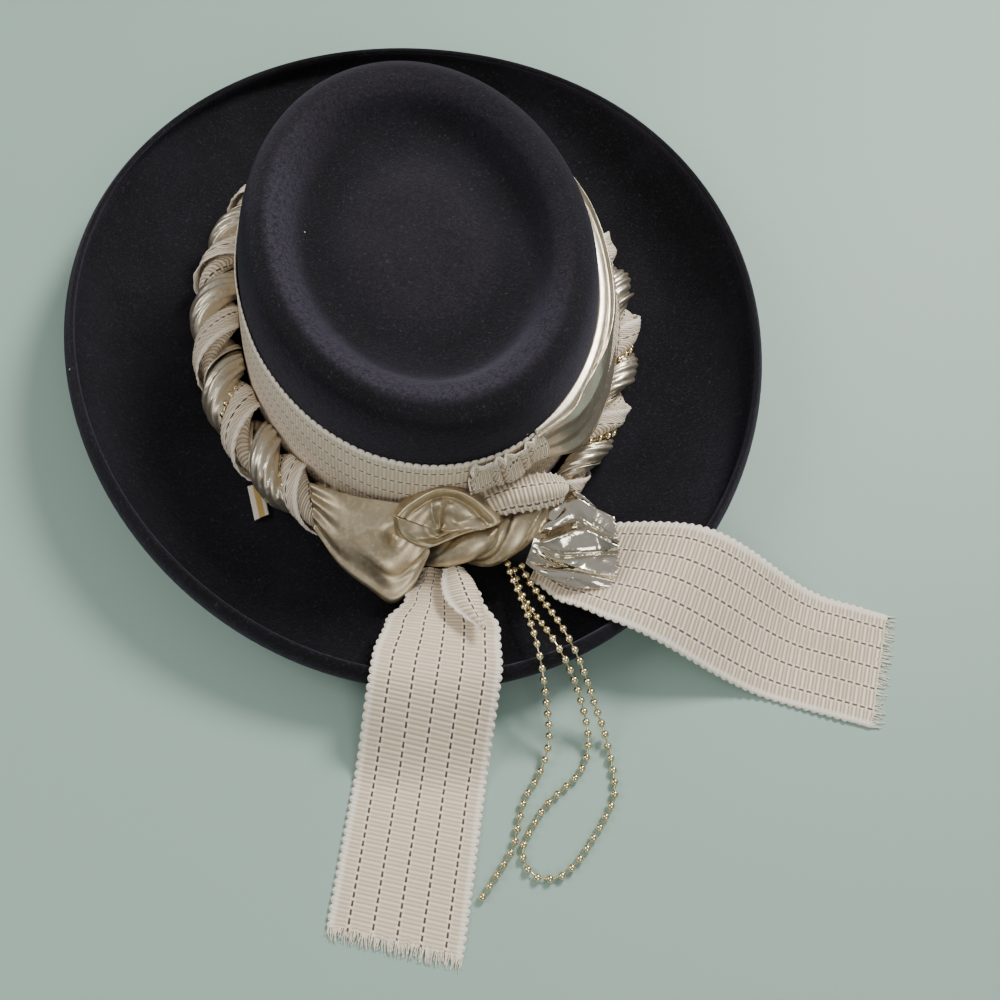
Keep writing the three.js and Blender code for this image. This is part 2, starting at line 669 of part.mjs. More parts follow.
function beadTube(route, steps, grow = 0) {
  const points = route.map(([x, y, z]) => new THREE.Vector3(x, y, z));
  points[0].add(points[0].clone().sub(points[1]).setLength(grow));
  const curve = new THREE.CatmullRomCurve3(points);
  const section = new THREE.Shape();
  section.absarc(0, 0, beadDiameter / 2 + grow, 0, 2 * Math.PI);
  const options = { steps, extrudePath: curve, curveSegments: beadTubeSides / 2, bevelEnabled: false };
  const geometry = new THREE.ExtrudeGeometry(section, options);
  geometry.deleteAttribute('normal');
  geometry.deleteAttribute('uv');
  const merged = mergeVertices(geometry, 1e-4);
  merged.computeVertexNormals();
  return merged;
}

const finish = {
  felt: { color: 0x17171f, roughness: 0.95, metalness: 0 },
  ribbon: { color: 0xd9cdc0, roughness: 0.85, metalness: 0 },
  lame: { color: 0xa59a82, roughness: 0.4, metalness: 0.7 },
  beads: { color: 0xc9b97e, roughness: 0.25, metalness: 0.9 },
};
const hat = new THREE.Group();

function add(name, look, geometry) {
  const mesh = new THREE.Mesh(geometry, new THREE.MeshStandardMaterial(finish[look]));
  mesh.name = name;
  hat.add(mesh);
}

const sheet = (grid, grow = 0) => sheetGeometry(grid, clothThickness, false, grow);
const clearOfTails = [sheet(tailGrid(tailLeft), gap), sheet(tailGrid(tailRight), gap)];
const clearOfBeads = [
  beadTube(beadStrandRoute, beadTubeSteps.strand, gap),
  beadTube(beadLoopRoute, beadTubeSteps.loop, gap),
];
const clearOfWrap = bundle(bundleForms.wrap, gap);
const clearOfRosette = bundle(bundleForms.rosette, gap);

add('felt_body', 'felt', feltBody());
add('ribbon_band', 'ribbon', ribbonBand());
add('lame_band', 'lame', lameBand());
twist.forEach((form) => add(form.name, form.look, strand(form)));
add('tail_left', 'ribbon', frayedTail(tailLeft));
add('tail_right', 'ribbon', frayedTail(tailRight));
add('bead_strand', 'beads', beadTube(beadStrandRoute, beadTubeSteps.strand));
add('bead_loop', 'beads', beadTube(beadLoopRoute, beadTubeSteps.loop));
add('lame_wrap', 'lame', cutClear(bundle(bundleForms.wrap), [...clearOfTails, ...clearOfBeads]));
add('lame_rosette', 'lame', cutClear(bundle(bundleForms.rosette), [ribbonBand(gap), clearOfWrap]));
add('lame_end', 'lame', cutClear(bundle(bundleForms.end), [clearOfWrap, ...clearOfTails, ...clearOfBeads]));
add('lame_flap', 'lame', cutClear(sheet(flapGrid()), [
  clearOfWrap,
  clearOfRosette,
  ...clearOfTails,
  ...twist.map((form) => strand(form, gap)),
]));
add('ribbon_loop', 'ribbon', cutClear(sheet(loopGrid()), [clearOfWrap, clearOfRosette]));
add('ribbon_ruffle', 'ribbon', cutClear(sheet(ruffleGrid()), [clearOfRosette]));
add('ribbon_end_tab', 'ribbon', sheet(tabGrid()));

// The origin is under the middle of the whole hat with its tails, on the surface it lies on.
const box = new THREE.Box3().setFromObject(hat);
const middle = box.getCenter(new THREE.Vector3());
hat.position.set(-middle.x, -middle.y, -box.min.z);

const group = new THREE.Group();
group.add(hat);
export default group;
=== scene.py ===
# Rancher hat of dark felt. A twist of ribbon, metallic cloth and ball chain is tied round its crown.
# Lengths are millimetres from the middle of the crown's foot; the knot is at -Y. toRow turns them
# into the frame's metres.
import math
import random
from bisect import bisect_right

import bpy
from mathutils import Euler, Matrix, Vector, noise


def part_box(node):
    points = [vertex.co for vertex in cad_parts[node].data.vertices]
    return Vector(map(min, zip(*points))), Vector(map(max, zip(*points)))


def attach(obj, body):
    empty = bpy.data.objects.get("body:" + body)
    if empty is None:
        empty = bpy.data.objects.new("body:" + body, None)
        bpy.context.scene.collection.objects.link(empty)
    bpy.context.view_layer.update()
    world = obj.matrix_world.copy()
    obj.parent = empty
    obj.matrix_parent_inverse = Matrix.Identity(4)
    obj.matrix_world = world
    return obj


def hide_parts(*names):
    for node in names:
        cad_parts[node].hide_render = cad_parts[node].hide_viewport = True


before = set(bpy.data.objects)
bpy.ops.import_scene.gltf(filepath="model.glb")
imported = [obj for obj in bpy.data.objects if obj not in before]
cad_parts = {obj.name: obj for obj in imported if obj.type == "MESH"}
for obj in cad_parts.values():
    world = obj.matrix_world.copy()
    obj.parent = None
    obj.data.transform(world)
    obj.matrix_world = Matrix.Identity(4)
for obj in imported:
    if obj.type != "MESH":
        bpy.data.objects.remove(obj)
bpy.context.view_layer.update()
bandLow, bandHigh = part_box("ribbon_band")
crownMiddle = (bandLow + bandHigh) / 2


def toRow(point):
    return Vector((point[0] * 0.001 + crownMiddle.x, point[1] * 0.001 + crownMiddle.y, point[2] * 0.001))


def mix(low, high, share):
    return low + (high - low) * share


def smooth(share):
    share = min(max(share, 0.0), 1.0)
    return share * share * (3 - 2 * share)


def bump(share, middle, width):
    return math.exp(-(((share - middle) / width) ** 2))


def crease(share, middle, width):
    return math.exp(-abs(share - middle) / width)


def tableAt(rows, at, key, ease=False):
    # Value of a column of a table of rows, each with its own "at".
    last = 1
    while last < len(rows) - 1 and rows[last]["at"] < at:
        last += 1
    low, high = rows[last - 1], rows[last]
    share = min(max((at - low["at"]) / (high["at"] - low["at"]), 0), 1)
    return mix(low[key], high[key], smooth(share) if ease else share)


def knotsOf(points):
    knots = [0.0]
    for before, after in zip(points, points[1:]):
        knots.append(knots[-1] + max((after - before).length, 1e-6) ** 0.5)
    return knots


def curveAt(points, knots, at):
    # Smooth curve through the points.
    last = len(points) - 1
    i = min(max(bisect_right(knots, at) - 1, 0), last - 1)

    def slope(j):
        if j == 0 or j == last:
            k = 0 if j == 0 else last - 1
            return (points[k + 1] - points[k]) / (knots[k + 1] - knots[k])
        before, after = knots[j] - knots[j - 1], knots[j + 1] - knots[j]
        low = (points[j] - points[j - 1]) / before
        high = (points[j + 1] - points[j]) / after
        return (low * after + high * before) / (before + after)

    width = knots[i + 1] - knots[i]
    t = (at - knots[i]) / width
    start, end = slope(i) * width, slope(i + 1) * width
    return (
        points[i] * (2 * t**3 - 3 * t**2 + 1)
        + start * (t**3 - 2 * t**2 + t)
        + points[i + 1] * (3 * t**2 - 2 * t**3)
        + end * (t**3 - t**2)
    )


def evenPoints(route, pitch):
    # Points at even steps along a smooth route.
    points = [Vector(spot) for spot in route]
    knots = knotsOf(points)
    fine = [curveAt(points, knots, knots[-1] * i / 1200) for i in range(1201)]
    found, walked = [fine[0]], 0.0
    for before, after in zip(fine, fine[1:]):
        step = (after - before).length
        while walked + step >= pitch * len(found):
            found.append(before.lerp(after, (pitch * len(found) - walked) / step))
        walked += step
    return found, walked


def lineAt(points, share):
    # Smooth curve through points that are equally far apart in share.
    return curveAt(points, range(len(points)), share * (len(points) - 1))


def netAt(net, u, v):
    # Smooth patch through the rows of a net of points.
    return lineAt([lineAt(row, v) for row in net], u)


# Camera at the photograph's angle
camera = {
    "lens": 45,
    "place": (-62.9, -344.1, 533.8),
    "turn": (26.21, -4.07, -11.03),
}


def setCamera():
    made = bpy.data.cameras.new("viewCamera")
    made.lens = camera["lens"]
    made.sensor_width = 36
    made.clip_start = 0.01
    holder = bpy.data.objects.new("viewCamera", made)
    bpy.context.collection.objects.link(holder)
    holder.location = toRow(camera["place"])
    holder.rotation_euler = Euler([math.radians(part) for part in camera["turn"]])
    bpy.context.scene.camera = holder


# Studio: pale floor and soft light. Places are in metres from the crown.
studio = {
    "floorColour": (0.315, 0.455, 0.41, 1),
    "skyLow": (0.4, 0.42, 0.41, 1),
    "skyHigh": (0.98, 0.98, 0.96, 1),
    "skyStrength": 0.42,
    "lampColour": (1.0, 0.96, 0.9),
    "lamps": [
        {"name": "keyLamp", "place": (0.85, 0.6, 1.15), "size": 0.5, "power": 27},
        {"name": "fillLamp", "place": (-1.1, 0.15, 1.1), "size": 0.8, "power": 8},
        {"name": "frontLamp", "place": (0.1, -1.3, 1.0), "size": 0.6, "power": 5},
    ],
}


def setStudio():
    bpy.ops.object.select_all(action="DESELECT")
    bpy.ops.mesh.primitive_plane_add(size=8, location=(0, 0, 0))
    floor = bpy.context.object
    floor.name = "studioFloor"
    material = bpy.data.materials.new("paleFloor")
    material.use_nodes = True
    shader = material.node_tree.nodes["Principled BSDF"]
    shader.inputs["Base Color"].default_value = studio["floorColour"]
    shader.inputs["Roughness"].default_value = 0.55
    floor.data.materials.append(material)
    for lamp in studio["lamps"]:
        made = bpy.data.lights.new(lamp["name"], "AREA")
        made.shape = "DISK"
        made.size = lamp["size"]
        made.energy = lamp["power"]
        made.color = studio["lampColour"]
        holder = bpy.data.objects.new(lamp["name"], made)
        bpy.context.collection.objects.link(holder)
        holder.location = Vector(lamp["place"]) + Vector((crownMiddle.x, crownMiddle.y, 0))
        aim = Vector((0, -0.05, 0.05)) - holder.location
        holder.rotation_euler = aim.to_track_quat("-Z", "Y").to_euler()
    world = bpy.data.worlds.new("studioSky")
    bpy.context.scene.world = world
    world.use_nodes = True
    nodes, links = world.node_tree.nodes, world.node_tree.links
    nodes.clear()
    place = nodes.new("ShaderNodeTexCoord")
    split = nodes.new("ShaderNodeSeparateXYZ")
    blend = nodes.new("ShaderNodeMix")
    blend.data_type = "RGBA"
    blend.inputs["A"].default_value = studio["skyLow"]
    blend.inputs["B"].default_value = studio["skyHigh"]
    sky = nodes.new("ShaderNodeBackground")
    sky.inputs["Strength"].default_value = studio["skyStrength"]
    out = nodes.new("ShaderNodeOutputWorld")
    links.new(place.outputs["Generated"], split.inputs[0])
    links.new(split.outputs["Z"], blend.inputs["Factor"])
    links.new(blend.outputs["Result"], sky.inputs["Color"])
    links.new(sky.outputs[0], out.inputs[0])


setCamera()
setStudio()
print("camera and studio set")


# Materials. The patterns of cloth follow each piece's own UV map, which is in millimetres.
class Board:
    # Lays out the nodes of one tree.
    def __init__(self, tree):
        self.tree = tree

    def link(self, value, socket):
        if isinstance(value, bpy.types.NodeSocket):
            self.tree.links.new(value, socket)
        else:
            socket.default_value = value

    def add(self, kind, **settings):
        made = self.tree.nodes.new(kind)
        for key, value in settings.items():
            setattr(made, key, value)
        return made

    def maths(self, operation, first, second=None, third=None, clamp=False):
        made = self.add("ShaderNodeMath", operation=operation, use_clamp=clamp)
        for i, value in enumerate((first, second, third)):
            if value is not None:
                self.link(value, made.inputs[i])
        return made.outputs[0]

    def noise(self, place, scale, detail=2.0, roughness=0.5, distortion=0.0):
        made = self.add("ShaderNodeTexNoise")
        self.tree.links.new(place, made.inputs["Vector"])
        made.inputs["Scale"].default_value = scale
        made.inputs["Detail"].default_value = detail
        made.inputs["Roughness"].default_value = roughness
        made.inputs["Distortion"].default_value = distortion
        return made.outputs["Fac"]

    def ramp(self, value, low, high, first=0.0, second=1.0):
        made = self.add("ShaderNodeMapRange", interpolation_type="SMOOTHSTEP")
        for name, given in (
            ("Value", value),
            ("From Min", low),
            ("From Max", high),
            ("To Min", first),
            ("To Max", second),
        ):
            self.link(given, made.inputs[name])
        return made.outputs["Result"]

    def blend(self, share, first, second):
        made = self.add("ShaderNodeMix", data_type="RGBA")
        self.link(share, made.inputs["Factor"])
        self.link(first, made.inputs["A"])
        self.link(second, made.inputs["B"])
        return made.outputs["Result"]

    def relief(self, height, strength, distance):
        made = self.add("ShaderNodeBump")
        made.inputs["Strength"].default_value = strength
        made.inputs["Distance"].default_value = distance
        self.link(height, made.inputs["Height"])
        return made.outputs["Normal"]


def newGroup(name, takes, gives):
    group = bpy.data.node_groups.new(name, "ShaderNodeTree")
    for key, kind, value in takes:
        socket = group.interface.new_socket(name=key, in_out="INPUT", socket_type=kind)
        if value is not None:
            socket.default_value = value
    for key, kind in gives:
        group.interface.new_socket(name=key, in_out="OUTPUT", socket_type=kind)
    board = Board(group)
    return group, board, board.add("NodeGroupInput").outputs, board.add("NodeGroupOutput").inputs


# Ribbed ribbon: scallopPitch is one loop of its weft, with one bright and one greyer rib in it; the greyer
# tone also holds painted shade.
ribbonCloth = {
    "width": 56.0,
    "scallopPitch": 3.5,
    "scallopDepth": 1.5,
    "ribHeight": 0.16,
    "stitchFirst": 0.15,
    "stitchStep": 0.18,
    "stitchLength": 0.66,
    "stitchWidth": 0.46,
    "colour": (0.79, 0.665, 0.495, 1),
    # greyRibAndShade: the greyer rib's tone, also the painted shade of the ribs' hollows
    "greyRibAndShade": (0.42, 0.33, 0.235, 1),
    "whiteRib": (0.98, 0.92, 0.8, 1),
    "thread": (0.1, 0.052, 0.026, 1),
    "shade": (0.45, 0.34, 0.24, 1),
}


def ribbonGroup():
    group, board, given, out = newGroup(
        "ribbonWeave",
        [
            ("Place", "NodeSocketVector", None),
            ("Object Place", "NodeSocketVector", None),
            ("Rib Contrast", "NodeSocketFloat", 0.6),
            ("Stitch Strength", "NodeSocketFloat", 1.0),
            ("Warmth", "NodeSocketFloat", 0.3),
        ],
        [("Color", "NodeSocketColor"), ("Height", "NodeSocketFloat")],
    )
    split = board.add("ShaderNodeSeparateXYZ")
    board.link(given["Place"], split.inputs[0])
    along, across = split.outputs["X"], split.outputs["Y"]
    loops = board.maths("DIVIDE", along, ribbonCloth["scallopPitch"])
    wave = board.maths("COSINE", board.maths("MULTIPLY", loops, 2 * math.pi))
    ribs = board.maths("COSINE", board.maths("MULTIPLY", loops, 4 * math.pi))
    share = board.maths("DIVIDE", across, ribbonCloth["width"])
    thread = board.noise(given["Place"], 2.4, 3.0, 0.6)
    # ribs: one of the two in each loop is brighter and wider; the crests are painted lighter and the hollows
    # darker, partly the weave's tone and partly painted light and shade
    tone = board.maths("MULTIPLY_ADD", ribs, 0.32, board.maths("MULTIPLY", wave, 0.18))
    tone = board.maths("ADD", tone, board.maths("MULTIPLY_ADD", thread, 0.7, -0.35))
    tone = board.maths("MULTIPLY", tone, given["Rib Contrast"])
    light = board.maths("MAXIMUM", tone, 0.0)
    dark = board.maths("MAXIMUM", board.maths("MULTIPLY", tone, -1.0), 0.0)
    light = board.maths("MULTIPLY", light, 1.6, clamp=True)
    dark = board.maths("MULTIPLY", dark, 1.7, clamp=True)
    colour = board.blend(light, ribbonCloth["colour"], ribbonCloth["whiteRib"])
    colour = board.blend(dark, colour, ribbonCloth["greyRibAndShade"])
    # painted shade in the narrow hollows between ribs
    grooveShade = board.maths("MULTIPLY", board.ramp(ribs, -0.5, -0.97), 0.3)
    grooveShade = board.maths("MULTIPLY", grooveShade, given["Rib Contrast"], clamp=True)
    colour = board.blend(grooveShade, colour, ribbonCloth["greyRibAndShade"])
    # random patches of painted brown shade, standing in for shading and for tint reflected from the felt and
    # the metallic cloth
    shadePatch = board.noise(given["Object Place"], 26.0, 2.0, 0.5)
    shadePatch = board.maths("MULTIPLY", board.ramp(shadePatch, 0.45, 0.75), given["Warmth"])
    colour = board.blend(shadePatch, colour, ribbonCloth["shade"])
    # white edges
    edge = board.maths("ABSOLUTE", board.maths("SUBTRACT", share, 0.5))
    edge = board.ramp(edge, 0.435, 0.47)
    colour = board.blend(board.maths("MULTIPLY", edge, 0.85), colour, ribbonCloth["whiteRib"])
    # dashed stitch lines
    row = board.maths("SUBTRACT", share, ribbonCloth["stitchFirst"])
    row = board.maths("DIVIDE", row, ribbonCloth["stitchStep"])
    row = board.maths("ABSOLUTE", board.maths("SUBTRACT", row, board.maths("ROUND", row)))
    row = board.maths("MULTIPLY", row, ribbonCloth["stitchStep"] * ribbonCloth["width"])
    wobble = board.noise(given["Place"], 0.9, 1.0, 0.5)
    row = board.maths("ADD", row, board.maths("MULTIPLY_ADD", wobble, 0.3, -0.15))
    line = board.ramp(row, ribbonCloth["stitchWidth"] * 1.35, ribbonCloth["stitchWidth"] * 0.75)
    step = board.maths("FRACT", board.maths("ADD", loops, 0.5))
    step = board.maths("ABSOLUTE", board.maths("SUBTRACT", step, 0.5))
    dash = board.ramp(step, ribbonCloth["stitchLength"] / 2 + 0.04, ribbonCloth["stitchLength"] / 2 - 0.04)
    stitch = board.maths("MULTIPLY", board.maths("MULTIPLY", line, dash), given["Stitch Strength"])
    beside = board.ramp(row, 1.5, 0.8)
    colour = board.blend(board.maths("MULTIPLY", beside, 0.5), colour, ribbonCloth["whiteRib"])
    colour = board.blend(stitch, colour, ribbonCloth["thread"])
    board.link(colour, out["Color"])
    weave = board.maths("SINE", board.maths("MULTIPLY", across, 2 * math.pi / 0.62))
    height = board.maths("MULTIPLY_ADD", weave, 0.12, board.maths("MULTIPLY", ribs, 0.5))
    height = board.maths("MULTIPLY_ADD", thread, 0.6, height)
    height = board.maths("MULTIPLY_ADD", stitch, -0.7, height)
    board.link(height, out["Height"])
    return group


# Crinkled thin metallic cloth
metallicCloth = {
    "colour": (0.52, 0.44, 0.3, 1),
    "worn": (0.44, 0.365, 0.24, 1),
    "silver": (0.86, 0.82, 0.73, 1),
}


def crinkleGroup():
    group, board, given, out = newGroup(
        "metallicCrinkle",
        [
            ("Place", "NodeSocketVector", None),
            ("Object Place", "NodeSocketVector", None),
            ("Crinkle", "NodeSocketFloat", 0.5),
            ("Silver", "NodeSocketFloat", 0.3),
        ],
        [("Color", "NodeSocketColor"), ("Height", "NodeSocketFloat"), ("Roughness", "NodeSocketFloat")],
    )
    wide = board.noise(given["Object Place"], 90.0, 3.0, 0.55, 0.6)
    fine = board.noise(given["Object Place"], 420.0, 3.0, 0.6)
    knit = board.noise(given["Object Place"], 1900.0, 1.0, 0.5)
    colour = board.blend(board.ramp(wide, 0.35, 0.65), metallicCloth["worn"], metallicCloth["colour"])
    most = board.maths("MULTIPLY_ADD", given["Silver"], 2.0, -1.0)
    bright = board.maths("MAXIMUM", board.ramp(fine, 0.45, 0.7), most)
    bright = board.maths("MULTIPLY", bright, given["Silver"])
    colour = board.blend(bright, colour, metallicCloth["silver"])
    board.link(colour, out["Color"])
    height = board.maths("MULTIPLY_ADD", fine, 0.35, wide)
    height = board.maths("MULTIPLY", height, given["Crinkle"])
    board.link(board.maths("MULTIPLY_ADD", knit, 0.03, height), out["Height"])
    rough = board.maths("MULTIPLY_ADD", fine, 0.22, 0.2)
    board.link(rough, out["Roughness"])
    return group


ribbonWeave = ribbonGroup()
metallicCrinkle = crinkleGroup()


def newMaterial(name):
    material = bpy.data.materials.new(name)
    material.use_nodes = True
    board = Board(material.node_tree)
    return material, board, material.node_tree.nodes["Principled BSDF"]


def placeGroup(board, group, **values):
    node = board.add("ShaderNodeGroup", node_tree=group)
    uv = board.add("ShaderNodeUVMap")
    coordinates = board.add("ShaderNodeTexCoord")
    board.link(uv.outputs["UV"], node.inputs["Place"])
    board.link(coordinates.outputs["Object"], node.inputs["Object Place"])
    for key, value in values.items():
        node.inputs[key].default_value = value
    return node


def ribbonMaterial(name, ribContrast, stitchStrength, warmth, reliefShare=1.0):
    material, board, shader = newMaterial(name)
    values = {"Rib Contrast": ribContrast, "Stitch Strength": stitchStrength, "Warmth": warmth}
    node = placeGroup(board, ribbonWeave, **values)
    board.link(node.outputs["Color"], shader.inputs["Base Color"])
    shader.inputs["Roughness"].default_value = 0.86
    shader.inputs["Sheen Weight"].default_value = 0.15
    shader.inputs["Sheen Roughness"].default_value = 0.6
    board.link(board.relief(node.outputs["Height"], 0.6 * reliefShare, 0.0003), shader.inputs["Normal"])
    return material


def metallicMaterial(name, crinkle, silver, metal, sharp):
    material, board, shader = newMaterial(name)
    node = placeGroup(board, metallicCrinkle, Crinkle=crinkle, Silver=silver)
    board.link(node.outputs["Color"], shader.inputs["Base Color"])
    rough = board.maths("MULTIPLY", node.outputs["Roughness"], sharp)
    board.link(rough, shader.inputs["Roughness"])
    shader.inputs["Metallic"].default_value = metal
    strength = 0.55 if metal < 1 else 0.25
    board.link(board.relief(node.outputs["Height"], strength, 0.0012), shader.inputs["Normal"])
    return material


feltLook = {
    "dark": (0.0026, 0.0025, 0.0037, 1),
    "light": (0.0068, 0.0063, 0.0098, 1),
    "speck": (0.085, 0.078, 0.11, 1),
    # worn: lighter felt for the crest's inner slope and the dent's floor, worn nap together with painted
    # highlight
    "worn": (0.036, 0.032, 0.048, 1),
    "lint": (0.62, 0.6, 0.6, 1),
}


def feltMaterial():
    material, board, shader = newMaterial("darkFelt")
    place = board.add("ShaderNodeTexCoord").outputs["Object"]
    cloud = board.noise(place, 22.0, 3.0, 0.6)
    fibre = board.noise(place, 900.0, 4.0, 0.7, 1.2)
    coarse = board.noise(place, 260.0, 3.0, 0.6, 0.8)
    colour = board.blend(board.ramp(cloud, 0.35, 0.7), feltLook["dark"], feltLook["light"])
    # the crest's inner slope is painted lighter, most at the left and the front: worn nap together with
    # painted highlight
    split = board.add("ShaderNodeSeparateXYZ")
    board.link(place, split.inputs[0])
    aside = board.maths("DIVIDE", board.maths("SUBTRACT", split.outputs["X"], crownMiddle.x), 0.067)
    ahead = board.maths("DIVIDE", board.maths("SUBTRACT", split.outputs["Y"], crownMiddle.y), 0.0905)
    reach = board.maths("MULTIPLY", ahead, ahead)
    reach = board.maths("SQRT", board.maths("MULTIPLY_ADD", aside, aside, reach))
    crestWornAndLit = board.maths("MULTIPLY", board.ramp(reach, 0.74, 0.88), board.ramp(reach, 1.04, 0.96))
    crestWornAndLit = board.maths("MULTIPLY", crestWornAndLit, board.ramp(split.outputs["Z"], 0.07, 0.08))
    facing = board.maths("MULTIPLY_ADD", aside, 0.6, board.maths("MULTIPLY", ahead, 0.75))
    crestWornAndLit = board.maths("MULTIPLY", crestWornAndLit, board.ramp(facing, 0.6, -0.5, 0.3, 1.0))
    # painted highlight on the dent's floor
    floor = board.maths("MULTIPLY", board.ramp(reach, 0.62, 0.4), board.ramp(split.outputs["Z"], 0.07, 0.076))
    worn = board.maths("MULTIPLY_ADD", floor, 0.28, crestWornAndLit)
    nap = board.noise(place, 620.0, 4.0, 0.75, 0.6)
    worn = board.maths("MULTIPLY", worn, board.ramp(nap, 0.36, 0.64, 0.25, 1.25))
    colour = board.blend(worn, colour, feltLook["worn"])
    specks = board.maths("MULTIPLY", board.ramp(fibre, 0.55, 0.74), 0.6)
    colour = board.blend(specks, colour, feltLook["speck"])
    cells = board.add("ShaderNodeTexVoronoi", feature="F1")
    cells.inputs["Scale"].default_value = 62.0
    board.link(place, cells.inputs["Vector"])
    few = board.add("ShaderNodeSeparateColor")
    board.link(cells.outputs["Color"], few.inputs[0])
    dot = board.ramp(cells.outputs["Distance"], 0.035, 0.02)
    dot = board.maths("MULTIPLY", dot, board.ramp(few.outputs["Red"], 0.93, 0.95))
    colour = board.blend(dot, colour, feltLook["lint"])
    board.link(colour, shader.inputs["Base Color"])
    shader.inputs["Roughness"].default_value = 0.93
    shader.inputs["Specular IOR Level"].default_value = 0.25
    shader.inputs["Sheen Weight"].default_value = 0.17
    shader.inputs["Sheen Roughness"].default_value = 0.42
    shader.inputs["Sheen Tint"].default_value = (0.6, 0.56, 0.82, 1)
    height = board.maths("MULTIPLY_ADD", coarse, 0.6, fibre)
    board.link(board.relief(height, 0.75, 0.0008), shader.inputs["Normal"])
    return material


def goldMaterial():
    material, board, shader = newMaterial("paleGold")
    place = board.add("ShaderNodeTexCoord").outputs["Object"]
    tarnish = board.noise(place, 300.0, 2.0, 0.6)
    colour = board.blend(board.ramp(tarnish, 0.4, 0.7), (0.86, 0.76, 0.5, 1), (0.7, 0.58, 0.32, 1))
    board.link(colour, shader.inputs["Base Color"])
    shader.inputs["Metallic"].default_value = 1.0
    board.link(board.ramp(tarnish, 0.3, 0.8, 0.08, 0.24), shader.inputs["Roughness"])
    return material


def threadMaterial():
    material, board, shader = newMaterial("creamThread")
    place = board.add("ShaderNodeTexCoord").outputs["Object"]
    tone = board.noise(place, 700.0, 2.0, 0.6)
    colour = board.blend(board.ramp(tone, 0.3, 0.7), (0.78, 0.69, 0.54, 1), (0.97, 0.92, 0.82, 1))
    board.link(colour, shader.inputs["Base Color"])
    shader.inputs["Roughness"].default_value = 0.85
    board.link(board.relief(tone, 0.4, 0.0002), shader.inputs["Normal"])
    return material


def tabMaterial():
    material, board, shader = newMaterial("whiteTab")
    split = board.add("ShaderNodeSeparateXYZ")
    board.link(board.add("ShaderNodeUVMap").outputs["UV"], split.inputs[0])
    offset = board.maths("ABSOLUTE", board.maths("SUBTRACT", split.outputs["Y"], 3.2))
    stripe = board.ramp(offset, 1.7, 1.1)
    weave = board.maths("COSINE", board.maths("MULTIPLY", split.outputs["X"], 2 * math.pi / 0.9))
    colour = board.blend(stripe, (0.82, 0.76, 0.68, 1), (0.55, 0.36, 0.09, 1))
    tone = board.maths("MULTIPLY_ADD", weave, 0.14, 0.14)
    colour = board.blend(tone, colour, (0.42, 0.33, 0.24, 1))
    board.link(colour, shader.inputs["Base Color"])
    shader.inputs["Roughness"].default_value = 0.8
    board.link(board.relief(weave, 0.5, 0.0003), shader.inputs["Normal"])
    return material


feltDark = feltMaterial()
ribbonRibbed = ribbonMaterial("ribbonRibbed", 1.2, 1.0, 0.3)
ribbonSmooth = ribbonMaterial("ribbonSmooth", 0.6, 1.0, 0.35, 0.5)
ribbonRolled = ribbonMaterial("ribbonRolled", 1.7, 1.0, 0.3)
ribbonFine = ribbonMaterial("ribbonFine", 0.6, 1.0, 0.08, 1.0)
ribbonStrong = ribbonMaterial("ribbonStrong", 1.6, 0.95, 0.3)
metallicFold = metallicMaterial("metallicFold", 0.22, 0.2, 0.85, 1.3)
metallicTwist = metallicMaterial("metallicTwist", 0.22, 0.78, 0.85, 1.1)
metallicBright = metallicMaterial("metallicBright", 0.9, 0.88, 1.0, 0.4)
paleGold = goldMaterial()
creamThread = threadMaterial()
whiteTab = tabMaterial()
print("materials made")


# Every sheet of cloth is a grid whose points are moved to their places. u runs along it, v across.
# facing gives the side that relief rises to and that thickness is taken away from.
def clothGrid(name, along, across, place, facing, relief=None, uvOf=None, uvSize=(1, 1),
              closed=(False, False), thickness=0.8, material=None):
    bpy.ops.object.select_all(action="DESELECT")
    bpy.ops.mesh.primitive_grid_add(x_subdivisions=along, y_subdivisions=across, size=1)
    piece = bpy.context.object
    piece.name = name
    mesh = piece.data
    mesh.name = name
    cells = [(round((v.co.x + 0.5) * along), round((v.co.y + 0.5) * across)) for v in mesh.vertices]
    grid = [[place(i / along, j / across) for j in range(across + 1)] for i in range(along + 1)]
    normals = gridNormals(grid, closed)
    score = sum(facing(grid[i][j]).dot(normals[i][j]) for i, j in cells)
    sign = 1 if score > 0 else -1
    for vertex, (i, j) in zip(mesh.vertices, cells):
        spot = grid[i][j]
        if relief:
            spot = spot + normals[i][j] * (sign * relief(i / along, j / across))
        vertex.co = toRow(spot)
    layer = mesh.uv_layers.active.data
    for loop in mesh.loops:
        i, j = cells[loop.vertex_index]
        u, v = i / along, j / across
        layer[loop.index].uv = uvOf(u, v) if uvOf else (u * uvSize[0], v * uvSize[1])
    bpy.ops.object.mode_set(mode="EDIT")
    bpy.ops.mesh.select_all(action="SELECT")
    bpy.ops.mesh.remove_doubles(threshold=2e-6)
    if sign < 0:
        bpy.ops.mesh.flip_normals()
    bpy.ops.object.mode_set(mode="OBJECT")
    if thickness:
        wall = piece.modifiers.new("wall", "SOLIDIFY")
        wall.thickness = thickness * 0.001
        wall.offset = -1
        bpy.ops.object.modifier_apply(modifier=wall.name)
    bpy.ops.object.shade_smooth()
    piece.data.materials.append(material)
    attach(piece, "root")
    return piece


def gridNormals(grid, closed):
    rows, columns = len(grid), len(grid[0])
    normals = []
    for i in range(rows):
        before, after = max(i - 1, 0), min(i + 1, rows - 1)
        if closed[0] and i in (0, rows - 1):
            before, after = rows - 2, 1
        line = []
        for j in range(columns):
            left, right = max(j - 1, 0), min(j + 1, columns - 1)
            if closed[1] and j in (0, columns - 1):
                left, right = columns - 2, 1
            normal = (grid[after][j] - grid[before][j]).cross(grid[i][right] - grid[i][left])
            line.append(normal.normalized() if normal.length > 1e-9 else Vector((0, 0, 1)))
        normals.append(line)
    return normals


def outFromCrown(point):
    return Vector((point.x, point.y, 30)).normalized()


def upwards(point):
    return Vector((0, 0, 1))


